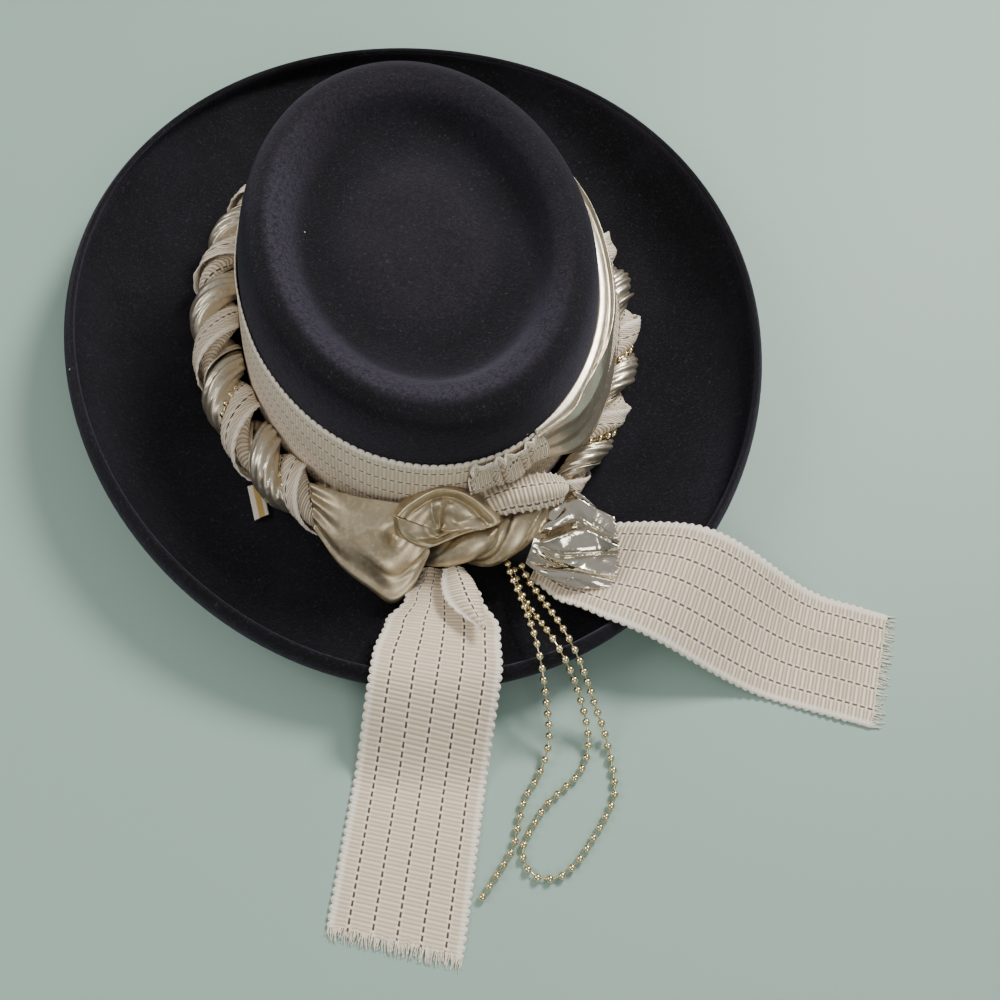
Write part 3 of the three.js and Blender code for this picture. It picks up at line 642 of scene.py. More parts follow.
# Felt. The same sizes as the solid's, with a smooth profile through its rows.
felt = {
    "thickness": 2.5,
    "crownHalfLength": 105,
    "crownHalfWidth": 84.5,
    "crownHeight": 96,
    "crestHalfLength": 90.5,
    "crestHalfWidth": 67,
    "dentDepth": 18,
    "domeHeight": 4,
    "brimHalfLength": 184,
    "brimHalfWidth": 165,
    "brimShift": 3.5,
    "brimEdgeHeight": 18.5,
    "brimSideLift": 16,
    "brimSeamHeight": 3,
    "seamRadius": 3,
    "curlRadius": 6,
    "curlTurn": 140,
    "curlExtraTurn": 18,
    "curlExtraAt": -50,
    "curlStart": 35,
    "around": 180,
}
dentRows = [
    {"reach": 0.0, "drop": 1, "dome": 1},
    {"reach": 0.34, "drop": 1, "dome": 0.8},
    {"reach": 0.64, "drop": 1, "dome": 0.15},
    {"reach": 0.79, "drop": 0.74, "dome": 0},
    {"reach": 0.89, "drop": 0.2, "dome": 0},
    {"reach": 1, "drop": 0, "dome": 0},
]
wallRows = [
    {"side": 0.74, "end": 0.62, "height": 0.985},
    {"side": 0.5, "end": 0.34, "height": 0.95},
    {"side": 0.3, "end": 0.18, "height": 0.86},
    {"side": 0.11, "end": 0.07, "height": 0.54},
]
brimRows = [
    {"across": 0.11, "rise": 0},
    {"across": 0.15, "rise": 0},
    {"across": 0.31, "rise": 0},
    {"across": 0.35, "rise": 0},
    {"across": 0.6, "rise": 0.16},
    {"across": 0.82, "rise": 0.52},
    {"across": 1, "rise": 1},
]
curlSteps = [0.12, 0.24, 0.36, 0.48, 0.6, 0.72, 0.86, 1]
seamTop = felt["thickness"] + felt["brimSeamHeight"]
wallFoot = seamTop + felt["seamRadius"]
innerWidth = felt["brimHalfWidth"] - felt["thickness"]
innerLength = felt["brimHalfLength"] - felt["thickness"]


def ellipse(halfWidth, halfLength, angle):
    return Vector((halfWidth * math.sin(angle), -halfLength * math.cos(angle), 0))


def edgeHeight(angle):
    return felt["brimEdgeHeight"] + felt["brimSideLift"] * math.sin(angle) ** 2


def curlAngle(angle):
    extra = max(0, math.cos(angle - math.radians(felt["curlExtraAt"])))
    return felt["curlTurn"] + felt["curlExtraTurn"] * extra


def curlPoint(angle, turn):
    inset = felt["curlRadius"] * (1 - math.sin(math.radians(turn)))
    foot = ellipse(innerWidth - inset, innerLength - inset, angle)
    height = edgeHeight(angle) - felt["curlRadius"] * math.cos(math.radians(turn))
    return Vector((foot.x, foot.y - felt["brimShift"], height))


def brimPoint(angle, across, rise, lift=0):
    radius = felt["seamRadius"]
    start = ellipse(felt["crownHalfWidth"] + radius, felt["crownHalfLength"] + radius, angle)
    end = curlPoint(angle, felt["curlStart"])
    height = felt["thickness"] + lift + (end.z - felt["thickness"]) * rise
    spot = start.lerp(end, across)
    return Vector((spot.x, spot.y, height))


# The crown's half width, half length and height along its profile, from the dent's middle to its foot
crownRows = [
    Vector((
        felt["crestHalfWidth"] * row["reach"],
        felt["crestHalfLength"] * row["reach"],
        felt["crownHeight"] - felt["dentDepth"] * row["drop"] + felt["domeHeight"] * row["dome"],
    ))
    for row in dentRows
] + [
    Vector((
        mix(felt["crownHalfWidth"], felt["crestHalfWidth"], row["side"]),
        mix(felt["crownHalfLength"], felt["crestHalfLength"], row["end"]),
        row["height"] * felt["crownHeight"],
    ))
    for row in wallRows
] + [Vector((felt["crownHalfWidth"], felt["crownHalfLength"], wallFoot))]
crownKnots = knotsOf(crownRows)
crownSteps = 110
crownLine = [curveAt(crownRows, crownKnots, crownKnots[-1] * i / crownSteps) for i in range(crownSteps + 1)]
wallLine = [row for i, row in enumerate(crownLine) if i > crownSteps // 3 and row.z <= felt["crownHeight"]]
wallLine = wallLine[max(range(len(wallLine)), key=lambda i: wallLine[i].z):]


def wallPoint(angle, height, outward=0.0):
    last = len(wallLine) - 1
    i = 0
    while i < last - 1 and wallLine[i + 1].z > height:
        i += 1
    high, low = wallLine[i], wallLine[i + 1]
    share = min(max((high.z - height) / max(high.z - low.z, 1e-6), 0), 1)
    size = high.lerp(low, share)
    foot = ellipse(size.x, size.y, angle)
    normal = Vector((math.sin(angle) / size.x, -math.cos(angle) / size.y, 0)).normalized()
    return Vector((foot.x + normal.x * outward, foot.y + normal.y * outward, height))


def feltColumn(angle):
    crown = [Vector((row.x * math.sin(angle), -row.y * math.cos(angle), row.z)) for row in crownLine]
    rest = [crown[-1], brimPoint(angle, 0, 0, felt["brimSeamHeight"])]
    rest += [brimPoint(angle, row["across"], row["rise"]) for row in brimRows]
    turns = [mix(felt["curlStart"], curlAngle(angle), share) for share in curlSteps]
    rest += [curlPoint(angle, turn) for turn in turns]
    return crown, rest


def makeFelt():
    knots = knotsOf(feltColumn(math.pi / 4)[1])
    spots = []
    for low, high in zip(knots, knots[1:]):
        parts = max(2, round((high - low) / 1.1))
        spots += [mix(low, high, k / parts) for k in range(parts)]
    spots.append(knots[-1])
    columns = []
    for i in range(felt["around"]):
        angle = 2 * math.pi * i / felt["around"]
        crown, rest = feltColumn(angle)
        line = crown[:-1] + [curveAt(rest, knots, spot) for spot in spots]
        sway = noise.noise(Vector((math.sin(angle) * 1.3, math.cos(angle) * 1.3, 4.2)))
        for k, spot in enumerate(line):
            out = max(0.0, (k - len(crown) - 12) / (len(line) - len(crown) - 12))
            spot.z = max(spot.z, felt["thickness"]) if k >= len(crown) else spot.z
            spot.z += 1.6 * sway * out**2
        columns.append(line)
    count = len(columns[0]) - 1

    def place(u, v):
        return columns[round(u * felt["around"]) % felt["around"]][round(v * count)]

    piece = clothGrid("feltHat", felt["around"], count, place, upwards, closed=(True, False),
                      thickness=felt["thickness"], material=feltDark)
    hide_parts("felt_body")


makeFelt()
print("felt made")


# Length along the wall at the band's middle, for ribs and stitches of an even pitch
def lengthTable(halfWidth, halfLength, steps=720):
    lengths = [0.0]
    for i in range(steps):
        before = ellipse(halfWidth, halfLength, 2 * math.pi * i / steps)
        after = ellipse(halfWidth, halfLength, 2 * math.pi * (i + 1) / steps)
        lengths.append(lengths[-1] + (after - before).length)
    return lengths


wallLengths = lengthTable(82, 103)


def angleAtLength(length):
    length = length % wallLengths[-1]
    i = min(bisect_right(wallLengths, length) - 1, len(wallLengths) - 2)
    part = (length - wallLengths[i]) / (wallLengths[i + 1] - wallLengths[i])
    return 2 * math.pi * (i + part) / (len(wallLengths) - 1)


def lengthAtAngle(angle):
    spot = angle / (2 * math.pi) * (len(wallLengths) - 1)
    i = min(max(int(spot), 0), len(wallLengths) - 2)
    return mix(wallLengths[i], wallLengths[i + 1], spot - i)


def ribRelief(length, depth):
    # Height of the ribs at a length along a ribbon, in millimetres.
    turn = 4 * math.pi * length / ribbonCloth["scallopPitch"]
    wide = 0.25 * math.cos(turn / 2)
    return depth * ribbonCloth["ribHeight"] * (math.cos(turn) + wide) * 0.5


def ribsAlong(length, depth):
    return lambda u, v: ribRelief(u * length, depth)


def scallop(length):
    # How far a ribbon's edge stands out at a length along it, in millimetres.
    part = math.cos(math.pi * length / ribbonCloth["scallopPitch"])
    return ribbonCloth["scallopDepth"] * (abs(part) ** 0.5 - 0.6)


# Ribbon laid flat round the wall
ribbonBand = {
    "gap": 0.3,
    "cloth": 1.0,
    "foot": wallFoot + 1.5,
    "width": 56.0,
    "perScallop": 8,
    "lanes": 12,
}
bandTop = ribbonBand["foot"] + ribbonBand["width"]
bandStack = ribbonBand["gap"] + ribbonBand["cloth"]


def makeRibbonBand():
    girth = wallLengths[-1]
    loops = round(girth / ribbonCloth["scallopPitch"])
    steps = loops * ribbonBand["perScallop"]
    pitchScale = loops * ribbonCloth["scallopPitch"] / girth
    lanes = ribbonBand["lanes"]

    def place(u, v):
        length = u * girth
        angle = angleAtLength(length) if u < 1 else 0.0
        edge = scallop(length * pitchScale)
        height = mix(ribbonBand["foot"], bandTop, v)
        height += edge * smooth((v - 1 + 1.6 / lanes) * lanes / 1.6)
        height -= edge * smooth((1.6 / lanes - v) * lanes / 1.6)
        sway = 0.35 * noise.noise(Vector((math.sin(angle) * 5, math.cos(angle) * 5, v * 2.5)))
        lift = 0.35 * smooth((v - 0.85) / 0.15)
        return wallPoint(angle, height, bandStack - 0.2 + max(sway, -0.1) + lift)

    piece = clothGrid("ribbonBand", steps, lanes, place, outFromCrown,
                      relief=lambda u, v: ribRelief(u * girth * pitchScale, 0.55), closed=(True, False),
                      uvSize=(girth * pitchScale, ribbonBand["width"]), thickness=0.7, material=ribbonSmooth)
    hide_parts("ribbon_band")


makeRibbonBand()
print("ribbon band made")


# The smooth fold of metallic cloth on the right of the crown, above the twist
metallicBand = {
    "from": 25.0,
    "to": 131.0,
    "foot": 30.0,
    "top": bandTop + 1.0,
    "bulge": 5.2,
}
metallicBandRows = [
    {"at": 0.0, "proud": 1.75, "height": 0.0},
    {"at": 0.14, "proud": 1.7, "height": 0.1},
    {"at": 0.26, "proud": 1.1, "height": 0.24},
    {"at": 0.4, "proud": 1.25, "height": 0.42},
    {"at": 0.52, "proud": 0.8, "height": 0.6},
    {"at": 0.68, "proud": 1.1, "height": 0.84},
    {"at": 0.8, "proud": 0.9, "height": 0.98},
    {"at": 0.88, "proud": 0.55, "height": 0.93},
    {"at": 0.94, "proud": 0.3, "height": 1.01},
    {"at": 1.0, "proud": -0.12, "height": 1.02},
]


def makeMetallicBand():
    start, end = math.radians(metallicBand["from"]), math.radians(metallicBand["to"])
    length = lengthAtAngle(end) - lengthAtAngle(start)

    def place(u, v):
        angle = mix(start, end, u)
        drift = 0.07 * math.sin(u * 7 + 1) * math.sin(math.pi * v)
        share = min(max(v + drift, 0), 1)
        narrow = smooth((1 - u) / 0.2) * mix(0.55, 1, smooth(u / 0.25))
        height = tableAt(metallicBandRows, share, "height", True)
        foot = mix(metallicBand["top"] - 8, metallicBand["foot"], narrow)
        proud = tableAt(metallicBandRows, share, "proud", True) * metallicBand["bulge"]
        lens = bump(u, 0.9, 0.05) * bump(share, 0.8, 0.08) + bump(u, 0.2, 0.09) * bump(share, 0.8, 0.07)
        proud = proud * mix(0.25, 1, smooth((1 - u) / 0.12)) * mix(0.1, 1, smooth(u / 0.14)) - 3.2 * lens
        off = (bandStack + 0.9) * (1 - smooth((share - 0.88) / 0.12)) + 0.5
        ripple = 0.35 * math.sin(u * 23 + share * 5) * math.sin(math.pi * share)
        rise = mix(foot, metallicBand["top"], height)
        return wallPoint(angle, rise, off + proud + ripple)

    piece = clothGrid("metallicBand", 150, 40, place, outFromCrown, uvSize=(length, 45), thickness=0.6,
                      material=metallicTwist)
    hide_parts("lame_band")


makeMetallicBand()

# A strip of ribbon that lies over the twist, under the metallic fold. inner and outer are how far
# its two edges stand off the crown.
ribbonStrip = {
    "from": 60.0,
    "to": 128.0,
    "innerHeight": 41.0,
    "outerHeight": 29.5,
    "length": 104.0,
}
ribbonStripRows = [
    {"at": 0.0, "inner": 7.0, "outer": 11.0},
    {"at": 0.4, "inner": 7.0, "outer": 15.0},
    {"at": 0.6, "inner": 5.5, "outer": 18.5},
    {"at": 0.85, "inner": 4.0, "outer": 17.5},
    {"at": 1.0, "inner": 2.5, "outer": 5.0},
]


def makeRibbonStrip():
    start, end = math.radians(ribbonStrip["from"]), math.radians(ribbonStrip["to"])

    def place(u, v):
        edge = scallop(u * ribbonStrip["length"]) * smooth((v - 0.8) / 0.2)
        inner = tableAt(ribbonStripRows, u, "inner", True)
        outer = tableAt(ribbonStripRows, u, "outer", True) + edge
        height = mix(ribbonStrip["innerHeight"], ribbonStrip["outerHeight"], v)
        height += 2.4 * math.sin(math.pi * v) + 0.8 * math.sin(u * 19) * v
        return wallPoint(mix(start, end, u), height, mix(inner, outer, v))

    piece = clothGrid("ribbonStrip", 300, 16, place, upwards, relief=ribsAlong(ribbonStrip["length"], 1.2),
                      uvOf=lambda u, v: (u * ribbonStrip["length"], 50 - 16 * (1 - v)), thickness=0.7,
                      material=ribbonStrong)


makeRibbonStrip()

# The twist of two strands with the ball chain in the groove between them. phase is in degrees.
twist = {
    "start": -136,
    "turns": 13,
    "radius": 5.4,
    "gap": 0.3,
    "press": 0.6,
    "lameBulge": 3.5,
    "onLameTo": 127.5 + 360 / 44,
    "metallicPhase": 0,
    "ribbonPhase": 180,
    "chainPhase": -90,
    "chainRide": 0.6,
    "sideways": 1.32,
    "outwards": 1.04,
    "pressIn": 2.2,
}
twistRows = [
    {"at": 32, "size": 0.58},
    {"at": 60, "size": 0.8},
    {"at": 90, "size": 1},
    {"at": 300, "size": 1},
    {"at": 342, "size": 0.8},
]


def twistSpot(degrees, phase, out, side, swing=None):
    # A point of a strand: out runs away from the twist's own middle and side across that.
    radius = twist["radius"] * tableAt(twistRows, degrees, "size", True)
    seat = radius + twist["gap"] / 2
    share = smooth((degrees - twist["onLameTo"] + 4) / 8)
    inner = mix(bandStack * 2 + twist["press"] * twist["lameBulge"], bandStack, share)
    reach = twist["gap"] + seat + radius
    first, last = twistRows[0]["at"], twistRows[-1]["at"]
    turn = math.radians(twist["start"] + phase + 360 * twist["turns"] * (degrees - first) / (last - first))
    away = (seat if swing is None else swing) + out * twist["outwards"] * (radius if swing is None else 1)
    beside = side * twist["sideways"] * (radius if swing is None else 1)
    x = away * math.sin(turn) - beside * math.cos(turn)
    y = away * math.cos(turn) + beside * math.sin(turn)
    # nothing goes into the band behind or the brim below, and the right side lies closer
    closer = twist["pressIn"] * smooth((130 - degrees) / 12) * smooth((degrees - 34) / 12)
    x, y = max(x, 0.35 - reach + closer * 0.6), max(y, 0.35 - reach)
    spot = wallPoint(math.radians(degrees), wallFoot, inner + reach + x - closer * 0.8)
    return Vector((spot.x, spot.y, seamTop + reach + y))


twistLength = 0.0
for step in range(310):
    twistLength += (twistSpot(33 + step, 0, 0, 0) - twistSpot(32 + step, 0, 0, 0)).length

rolledRibbon = {
    "windings": 1.55,
    "innerShare": 0.6,
    "outerShare": 1.24,
    "edgeAt": 62,
    "tilt": 0.62,
    "along": 1300,
    "across": 30,
}


def outFromStrand(phase):
    def facing(point):
        angle = math.atan2(point.x / felt["crownHalfWidth"], -point.y / felt["crownHalfLength"])
        return point - twistSpot(math.degrees(angle) % 360, phase, 0, 0)

    return facing


def makeTwistRibbon():
    first, last = twistRows[0]["at"], twistRows[-1]["at"]
    length = twistLength

    def section(u, v):
        sway = 26 * math.sin(u * 31 + 1.3) + 18 * math.sin(u * 67)
        corner = math.radians(rolledRibbon["edgeAt"] + sway - (1 - v) * 360 * rolledRibbon["windings"])
        radius = mix(rolledRibbon["innerShare"], rolledRibbon["outerShare"], smooth(v * 1.35))
        radius += 0.06 * math.cos(3 * corner + u * 40) + 0.22 * smooth((v - 0.9) / 0.1)
        return corner, radius

    def ribLength(u, v):
        corner, radius = section(u, v)
        return u * length + rolledRibbon["tilt"] * radius * twist["radius"] * math.sin(corner)

    def place(u, v):
        degrees = mix(first, last, u)
        corner, radius = section(u, v)
        edge = scallop(ribLength(u, v)) * smooth((v - 0.93) / 0.07) / twist["radius"]
        radius += 0.5 * edge
        ends = smooth(min(u, 1 - u) / 0.008 + 0.35)
        radius *= ends
        return twistSpot(degrees, twist["ribbonPhase"], radius * math.cos(corner), radius * math.sin(corner))

    def relief(u, v):
        return ribRelief(ribLength(u, v), 1.5)

    def uvOf(u, v):
        return ribLength(u, v), 56 - v * 56

    piece = clothGrid("twistRibbon", rolledRibbon["along"], rolledRibbon["across"], place,
                      outFromStrand(twist["ribbonPhase"]), relief=relief, uvOf=uvOf, thickness=0.6,
                      material=ribbonRolled)
    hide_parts("twist_ribbon")


rolledMetallic = {
    "windings": 1.3,
    "pleats": 7,
    "pleatDepth": 0.27,
    "along": 900,
    "across": 44,
}


def metallicSection(u, v):
    corner = 2 * math.pi * rolledMetallic["windings"] * (v - 0.5) + 0.7 * math.sin(u * 43) + 0.4
    wander = u * 55 + 1.4 * math.sin(u * 90)
    valley = abs(math.sin(rolledMetallic["pleats"] * corner / 2 + wander)) ** 0.5
    second = abs(math.sin(2 * corner - wander * 0.7 + 1)) ** 0.6
    pleat = 1 - rolledMetallic["pleatDepth"] * (1 - valley) - 0.1 * (1 - second)
    return corner, mix(0.65, 1.4, smooth(v * 2.2)) * pleat


def makeTwistMetallic():
    first, last = twistRows[0]["at"], twistRows[-1]["at"]

    def place(u, v):
        corner, radius = metallicSection(u, v)
        radius *= smooth(min(u, 1 - u) / 0.008 + 0.35)
        return twistSpot(mix(first, last, u), twist["metallicPhase"], radius * math.cos(corner),
                         radius * math.sin(corner))

    piece = clothGrid("twistMetallic", rolledMetallic["along"], rolledMetallic["across"], place,
                      outFromStrand(twist["metallicPhase"]), uvSize=(twistLength, 45), thickness=0.5,
                      material=metallicTwist)
    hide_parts("twist_lame")


makeTwistRibbon()
makeTwistMetallic()
print("twist made")


# Ball chains: balls at an even pitch with a thin rod between each two
chain = {
    "ball": 3.6,
    "pitch": 5.25,
    "rod": 0.8,
    "segments": 10,
    "rings": 7,
}


def makeChain(name, node, route):
    length = evenPoints(route, chain["pitch"])[1]
    points = evenPoints(route, length / round(length / chain["pitch"]) * 0.9999)[0]
    bpy.ops.object.select_all(action="DESELECT")
    bpy.ops.mesh.primitive_uv_sphere_add(segments=chain["segments"], ring_count=chain["rings"],
                                         radius=chain["ball"] * 0.0005)
    ball = bpy.context.object
    bpy.ops.object.shade_smooth()
    bpy.ops.mesh.primitive_cylinder_add(vertices=6, radius=chain["rod"] * 0.0005,
                                        depth=chain["pitch"] * 0.001, end_fill_type="NOTHING")
    rod = bpy.context.object
    bpy.ops.object.shade_smooth()
    made = []
    for i, point in enumerate(points):
        after = points[min(i + 1, len(points) - 1)]
        before = points[max(i - 1, 0)]
        turn = (after - before).to_track_quat("Z", "Y").to_matrix().to_4x4()
        copy = bpy.data.objects.new(name, ball.data.copy())
        copy.data.transform(turn)
        copy.data.transform(Matrix.Translation(toRow(point)))
        made.append(copy)
        if i < len(points) - 1:
            turn = (after - point).to_track_quat("Z", "Y").to_matrix().to_4x4()
            copy = bpy.data.objects.new(name, rod.data.copy())
            copy.data.transform(turn)
            copy.data.transform(Matrix.Translation(toRow((point + after) / 2)))
            made.append(copy)
    bpy.data.objects.remove(ball)
    bpy.data.objects.remove(rod)
    bpy.ops.object.select_all(action="DESELECT")
    for copy in made:
        bpy.context.collection.objects.link(copy)
        copy.select_set(True)
    bpy.context.view_layer.objects.active = made[0]
    bpy.ops.object.join()
    piece = bpy.context.object
    piece.name = name
    piece.data.name = name
    piece.data.materials.clear()
    piece.data.materials.append(paleGold)
    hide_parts(node)
    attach(piece, "root")
    print(name, "has", len(points), "balls over", round(length), "mm")


# Routes of the chain's free end and of its loop, from the knot over the brim's lip to the floor
beadStrandRoute = [
    [19.5, -132, 15], [19.5, -138.5, 17.5], [21.1, -151, 21.2], [21.9, -164.5, 26.8], [22.3, -176, 30.5],
    [22.5, -186.5, 29], [22.8, -195.5, 22.5], [23, -204.5, 14.5], [22.8, -211, 8.5], [20.5, -218, 4],
    [15, -226.5, 2], [7.5, -235, 2], [3, -244.5, 2], [-1.5, -254, 2], [-8.5, -262, 2], [-17.5, -271, 2],
]
beadLoopRoute = [
    [22.5, -134, 11], [22.5, -143, 14], [23.5, -152, 17.5], [25.8, -162, 23], [28.8, -174, 30.5],
    [32.5, -184, 30], [36, -192.5, 23], [38.5, -201.5, 15], [40, -211, 7], [38.5, -220.5, 2.2],
    [32.5, -228.5, 2], [23, -234.5, 2],
    [14.5, -240.5, 2], [7.3, -248.5, 2], [2.2, -256.5, 2], [5, -266.5, 2], [15, -269, 2], [24.5, -264, 2],
    [32.5, -256.5, 2], [40, -248.5, 2], [46, -240, 2], [48, -229.5, 2], [48, -221, 2.6], [47.5, -213.5, 5],
    [44.8, -204.5, 12], [42.3, -195.5, 20], [39.7, -187.5, 27], [36.5, -177.5, 30.8], [33.5, -166.5, 28],
    [30, -153.5, 21.5], [27, -142.5, 17], [25.5, -134, 15],
]


def chainInTwist(degrees):
    radius = twist["radius"] * tableAt(twistRows, degrees, "size", True)
    seat = radius + twist["gap"] / 2
    swing = math.sqrt((radius + chain["ball"] / 2 + twist["chainRide"]) ** 2 - seat**2)
    shown = max(bump(degrees, at, 9) for at in (53, 76.85, 291.5))
    swing += mix(-1.2, 2.4, shown)
    return twistSpot(degrees, twist["chainPhase"], 0, 0, swing=swing)


makeChain("beadStrand", "bead_strand", beadStrandRoute)
makeChain("beadLoop", "bead_loop", beadLoopRoute)
makeChain("twistChain", "twist_chain", [chainInTwist(32 + i * 2) for i in range(156)])


# Tails. Their underside follows the knot, the brim's lip and the floor.
curlOuter = felt["curlRadius"] + felt["thickness"]


def lipInset(angle):
    return felt["curlRadius"] - curlOuter * math.sin(math.radians(curlAngle(angle)))


def lipHeight(angle):
    return edgeHeight(angle) - curlOuter * math.cos(math.radians(curlAngle(angle)))


def lipShare(spot):
    angle = math.atan2(spot.x / innerWidth, -(spot.y + felt["brimShift"]) / innerLength)
    halfWidth, halfLength = innerWidth - lipInset(angle), innerLength - lipInset(angle)
    return angle, math.hypot(spot.x / halfWidth, (spot.y + felt["brimShift"]) / halfLength), halfLength


knotWidth = 64
knotHeight = 24
knotY = -(felt["crownHalfLength"] + bandStack)


def drapeHeight(spot, startShare, startHeight, fall):
    angle, share, halfLength = lipShare(spot)
    top = lipHeight(angle) + ribbonBand["gap"]
    if share < 1:
        return mix(startHeight, top, smooth((share - startShare) / (1 - startShare)))
    return mix(top, ribbonBand["gap"], smooth((share - 1) * halfLength / fall))


tailLeft = {
    "name": "tailLeft",
    "node": "tail_left",
    "start": (-0.16, -0.33),
    "length": 161,
    "fall": 46,
    "bearings": (-4.7, -18.4),
    "bendBy": 0.3,
    "startHeight": 0.375,
    "skew": -0.09,
    "ribDepth": 0.5,
    "material": ribbonFine,
    "rows": [
        {"at": 0, "wide": 0.3, "pleat": 1},
        {"at": 0.1, "wide": 0.6, "pleat": 0.8},
        {"at": 0.2, "wide": 0.88, "pleat": 0.35},
        {"at": 0.32, "wide": 0.98, "pleat": 0},
        {"at": 1, "wide": 1, "pleat": 0},
    ],
    "ravel": 2.0,
}
tailRight = {
    "name": "tailRight",
    "node": "tail_right",
    "start": (0.6, -0.29),
    "length": 163,
    "fall": 71,
    "bearings": (55.8, 63.9),
    "bendBy": 0.9,
    "startHeight": 0.25,
    "skew": 0,
    "ribDepth": 1.3,
    "material": ribbonStrong,
    "rows": [
        {"at": 0, "wide": 0.62, "pleat": 0.5},
        {"at": 0.12, "wide": 0.9, "pleat": 0.2},
        {"at": 0.25, "wide": 1, "pleat": 0},
        {"at": 1, "wide": 1, "pleat": 0},
    ],
    "ravel": 12.0,
}
tailSteps = 240
pleatHeight = 3


def tailPath(tail):
    start = Vector((tail["start"][0] * knotWidth, knotY + tail["start"][1] * knotWidth, 0))
    spot, path = start.copy(), []
    for i in range(tailSteps + 1):
        turn = math.radians(mix(*tail["bearings"], smooth(i / tailSteps / tail["bendBy"])))
        heading = Vector((math.sin(turn), -math.cos(turn), 0))
        path.append((spot.copy(), heading))
        spot += heading * (tail["length"] / tailSteps)
    return path


def tailPoint(tail, path, along, lane, over=0.0):
    # lane is from 0 to 1 across the tail and over is in millimetres past its edge.
    spot = min(max(along, 0.0), 1.0) * tailSteps
    i = min(int(spot), tailSteps - 1)
    place = path[i][0].lerp(path[i + 1][0], spot - i)
    heading = path[i][1].lerp(path[i + 1][1], spot - i).normalized()
    if along > 1:
        place = place + heading * ((along - 1) * tail["length"])
    left = Vector((-heading.y, heading.x, 0))
    width = ribbonCloth["width"] * tableAt(tail["rows"], along, "wide", True)
    pleat = pleatHeight * tableAt(tail["rows"], along, "pleat", True)
    offset = lane - 0.5
    slant = offset * tail["skew"] * ribbonCloth["width"] * along
    point = place + left * (offset * width + over) - heading * slant
    startShare = lipShare(path[0][0])[1]
    base = drapeHeight(point, startShare, tail["startHeight"] * knotHeight, tail["fall"])
    fold = pleat * (1 - math.cos(offset * 3 * math.pi)) * 0.5
    wave = 0.45 * noise.noise(Vector((point.x * 0.03, point.y * 0.03, 1.7))) * smooth(along * 5)
    return Vector((point.x, point.y, base + 1.0 + fold + max(wave, -0.25)))


def makeTail(tail):
    path = tailPath(tail)
    length = tail["length"]
    steps, lanes = round(length / 0.4375), 34

    def place(u, v):
        edge = scallop(u * length)
        near = smooth((abs(v - 0.5) - 0.465) / 0.035) * (1 if v > 0.5 else -1)
        ravel = smooth((u - 1 + tail["ravel"] / length) * length / 3)
        ragged = 1.2 * noise.noise(Vector((v * 23, 3.1, tail["length"]))) * smooth((u - 0.97) / 0.03)
        return tailPoint(tail, path, u + ragged / length, v, edge * near * (1 - 0.8 * ravel))

    def relief(u, v):
        left = 1 - smooth((u - 1 + tail["ravel"] / length) * length / 3)
        return ribRelief(u * length, tail["ribDepth"] * left)

    piece = clothGrid(tail["name"], steps, lanes, place, upwards, relief=relief,
                      uvSize=(length, ribbonCloth["width"]), thickness=0.8, material=tail["material"])
    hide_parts(tail["node"])
    return piece, path


# Frayed threads at a tail's end
fray = {
    "count": 130,
    "length": 6.2,
    "thick": 0.75,
    "seed": 11,
}


def makeFray(tail, path):
    random.seed(fray["seed"])
    threads = []
    count = round(fray["count"] * (1 if tail["ravel"] < 5 else 0.45))
    for i in range(count):
        lane = (i + random.uniform(0.05, 0.95)) / count
        reach = fray["length"] * random.uniform(0.5, 1.0)
        sideways = random.uniform(-1.6, 1.6)
        lift = random.uniform(-0.3, 0.8)
        root = tailPoint(tail, path, 1 - 1.5 / tail["length"], lane)
        ahead = tailPoint(tail, path, 1 + reach / tail["length"], lane)
        side = Vector((-(ahead - root).y, (ahead - root).x, 0)).normalized()
        line = []
        for k in range(6):
            share = k / 5
            spot = root.lerp(ahead, share) + side * (sideways * share**2)
            spot.z = max(spot.z - 0.5 + lift * math.sin(math.pi * share) - 0.3 * share, 0.25)
            line.append(spot)
        thick = fray["thick"] * random.uniform(0.7, 1.25)
        threads.append(thread(line, thick))
    piece = joinPieces(threads, tail["name"] + "Fray", creamThread)
    return piece


def thread(line, thick, sides=5):
    knots = knotsOf(line)
    steps = len(line) * 2

    def place(u, v):
        spot = curveAt(line, knots, u * knots[-1])
        ahead = curveAt(line, knots, min(u + 0.02, 1) * knots[-1])
        ahead = ahead - curveAt(line, knots, max(u - 0.02, 0) * knots[-1])
        side = ahead.cross(Vector((0, 0, 1))).normalized()
        up = side.cross(ahead.normalized())
        radius = thick / 2 * (1 - 0.6 * u) * (0.0 if u in (0, 1) else 1.0)
        turn = 2 * math.pi * v
        return spot + side * (radius * math.cos(turn)) + up * (radius * math.sin(turn))

    def facing(point):
        return Vector((0, 0, 0))

    return clothGrid("thread", steps, sides, place, facing, closed=(False, True), thickness=0,
                     material=creamThread)


def joinPieces(made, name, material):
    bpy.ops.object.select_all(action="DESELECT")
    for piece in made:
        piece.select_set(True)
    bpy.context.view_layer.objects.active = made[0]
    bpy.ops.object.join()
    piece = bpy.context.object
    bpy.ops.object.mode_set(mode="EDIT")
    bpy.ops.mesh.select_all(action="SELECT")
    bpy.ops.mesh.normals_make_consistent(inside=False)
    bpy.ops.object.mode_set(mode="OBJECT")
    piece.name = name
    piece.data.name = name
    piece.data.materials.clear()
    piece.data.materials.append(material)
    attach(piece, "root")
    return piece


for tail in (tailLeft, tailRight):
    piece, path = makeTail(tail)
    fringe = makeFray(tail, path)
print("tails made")

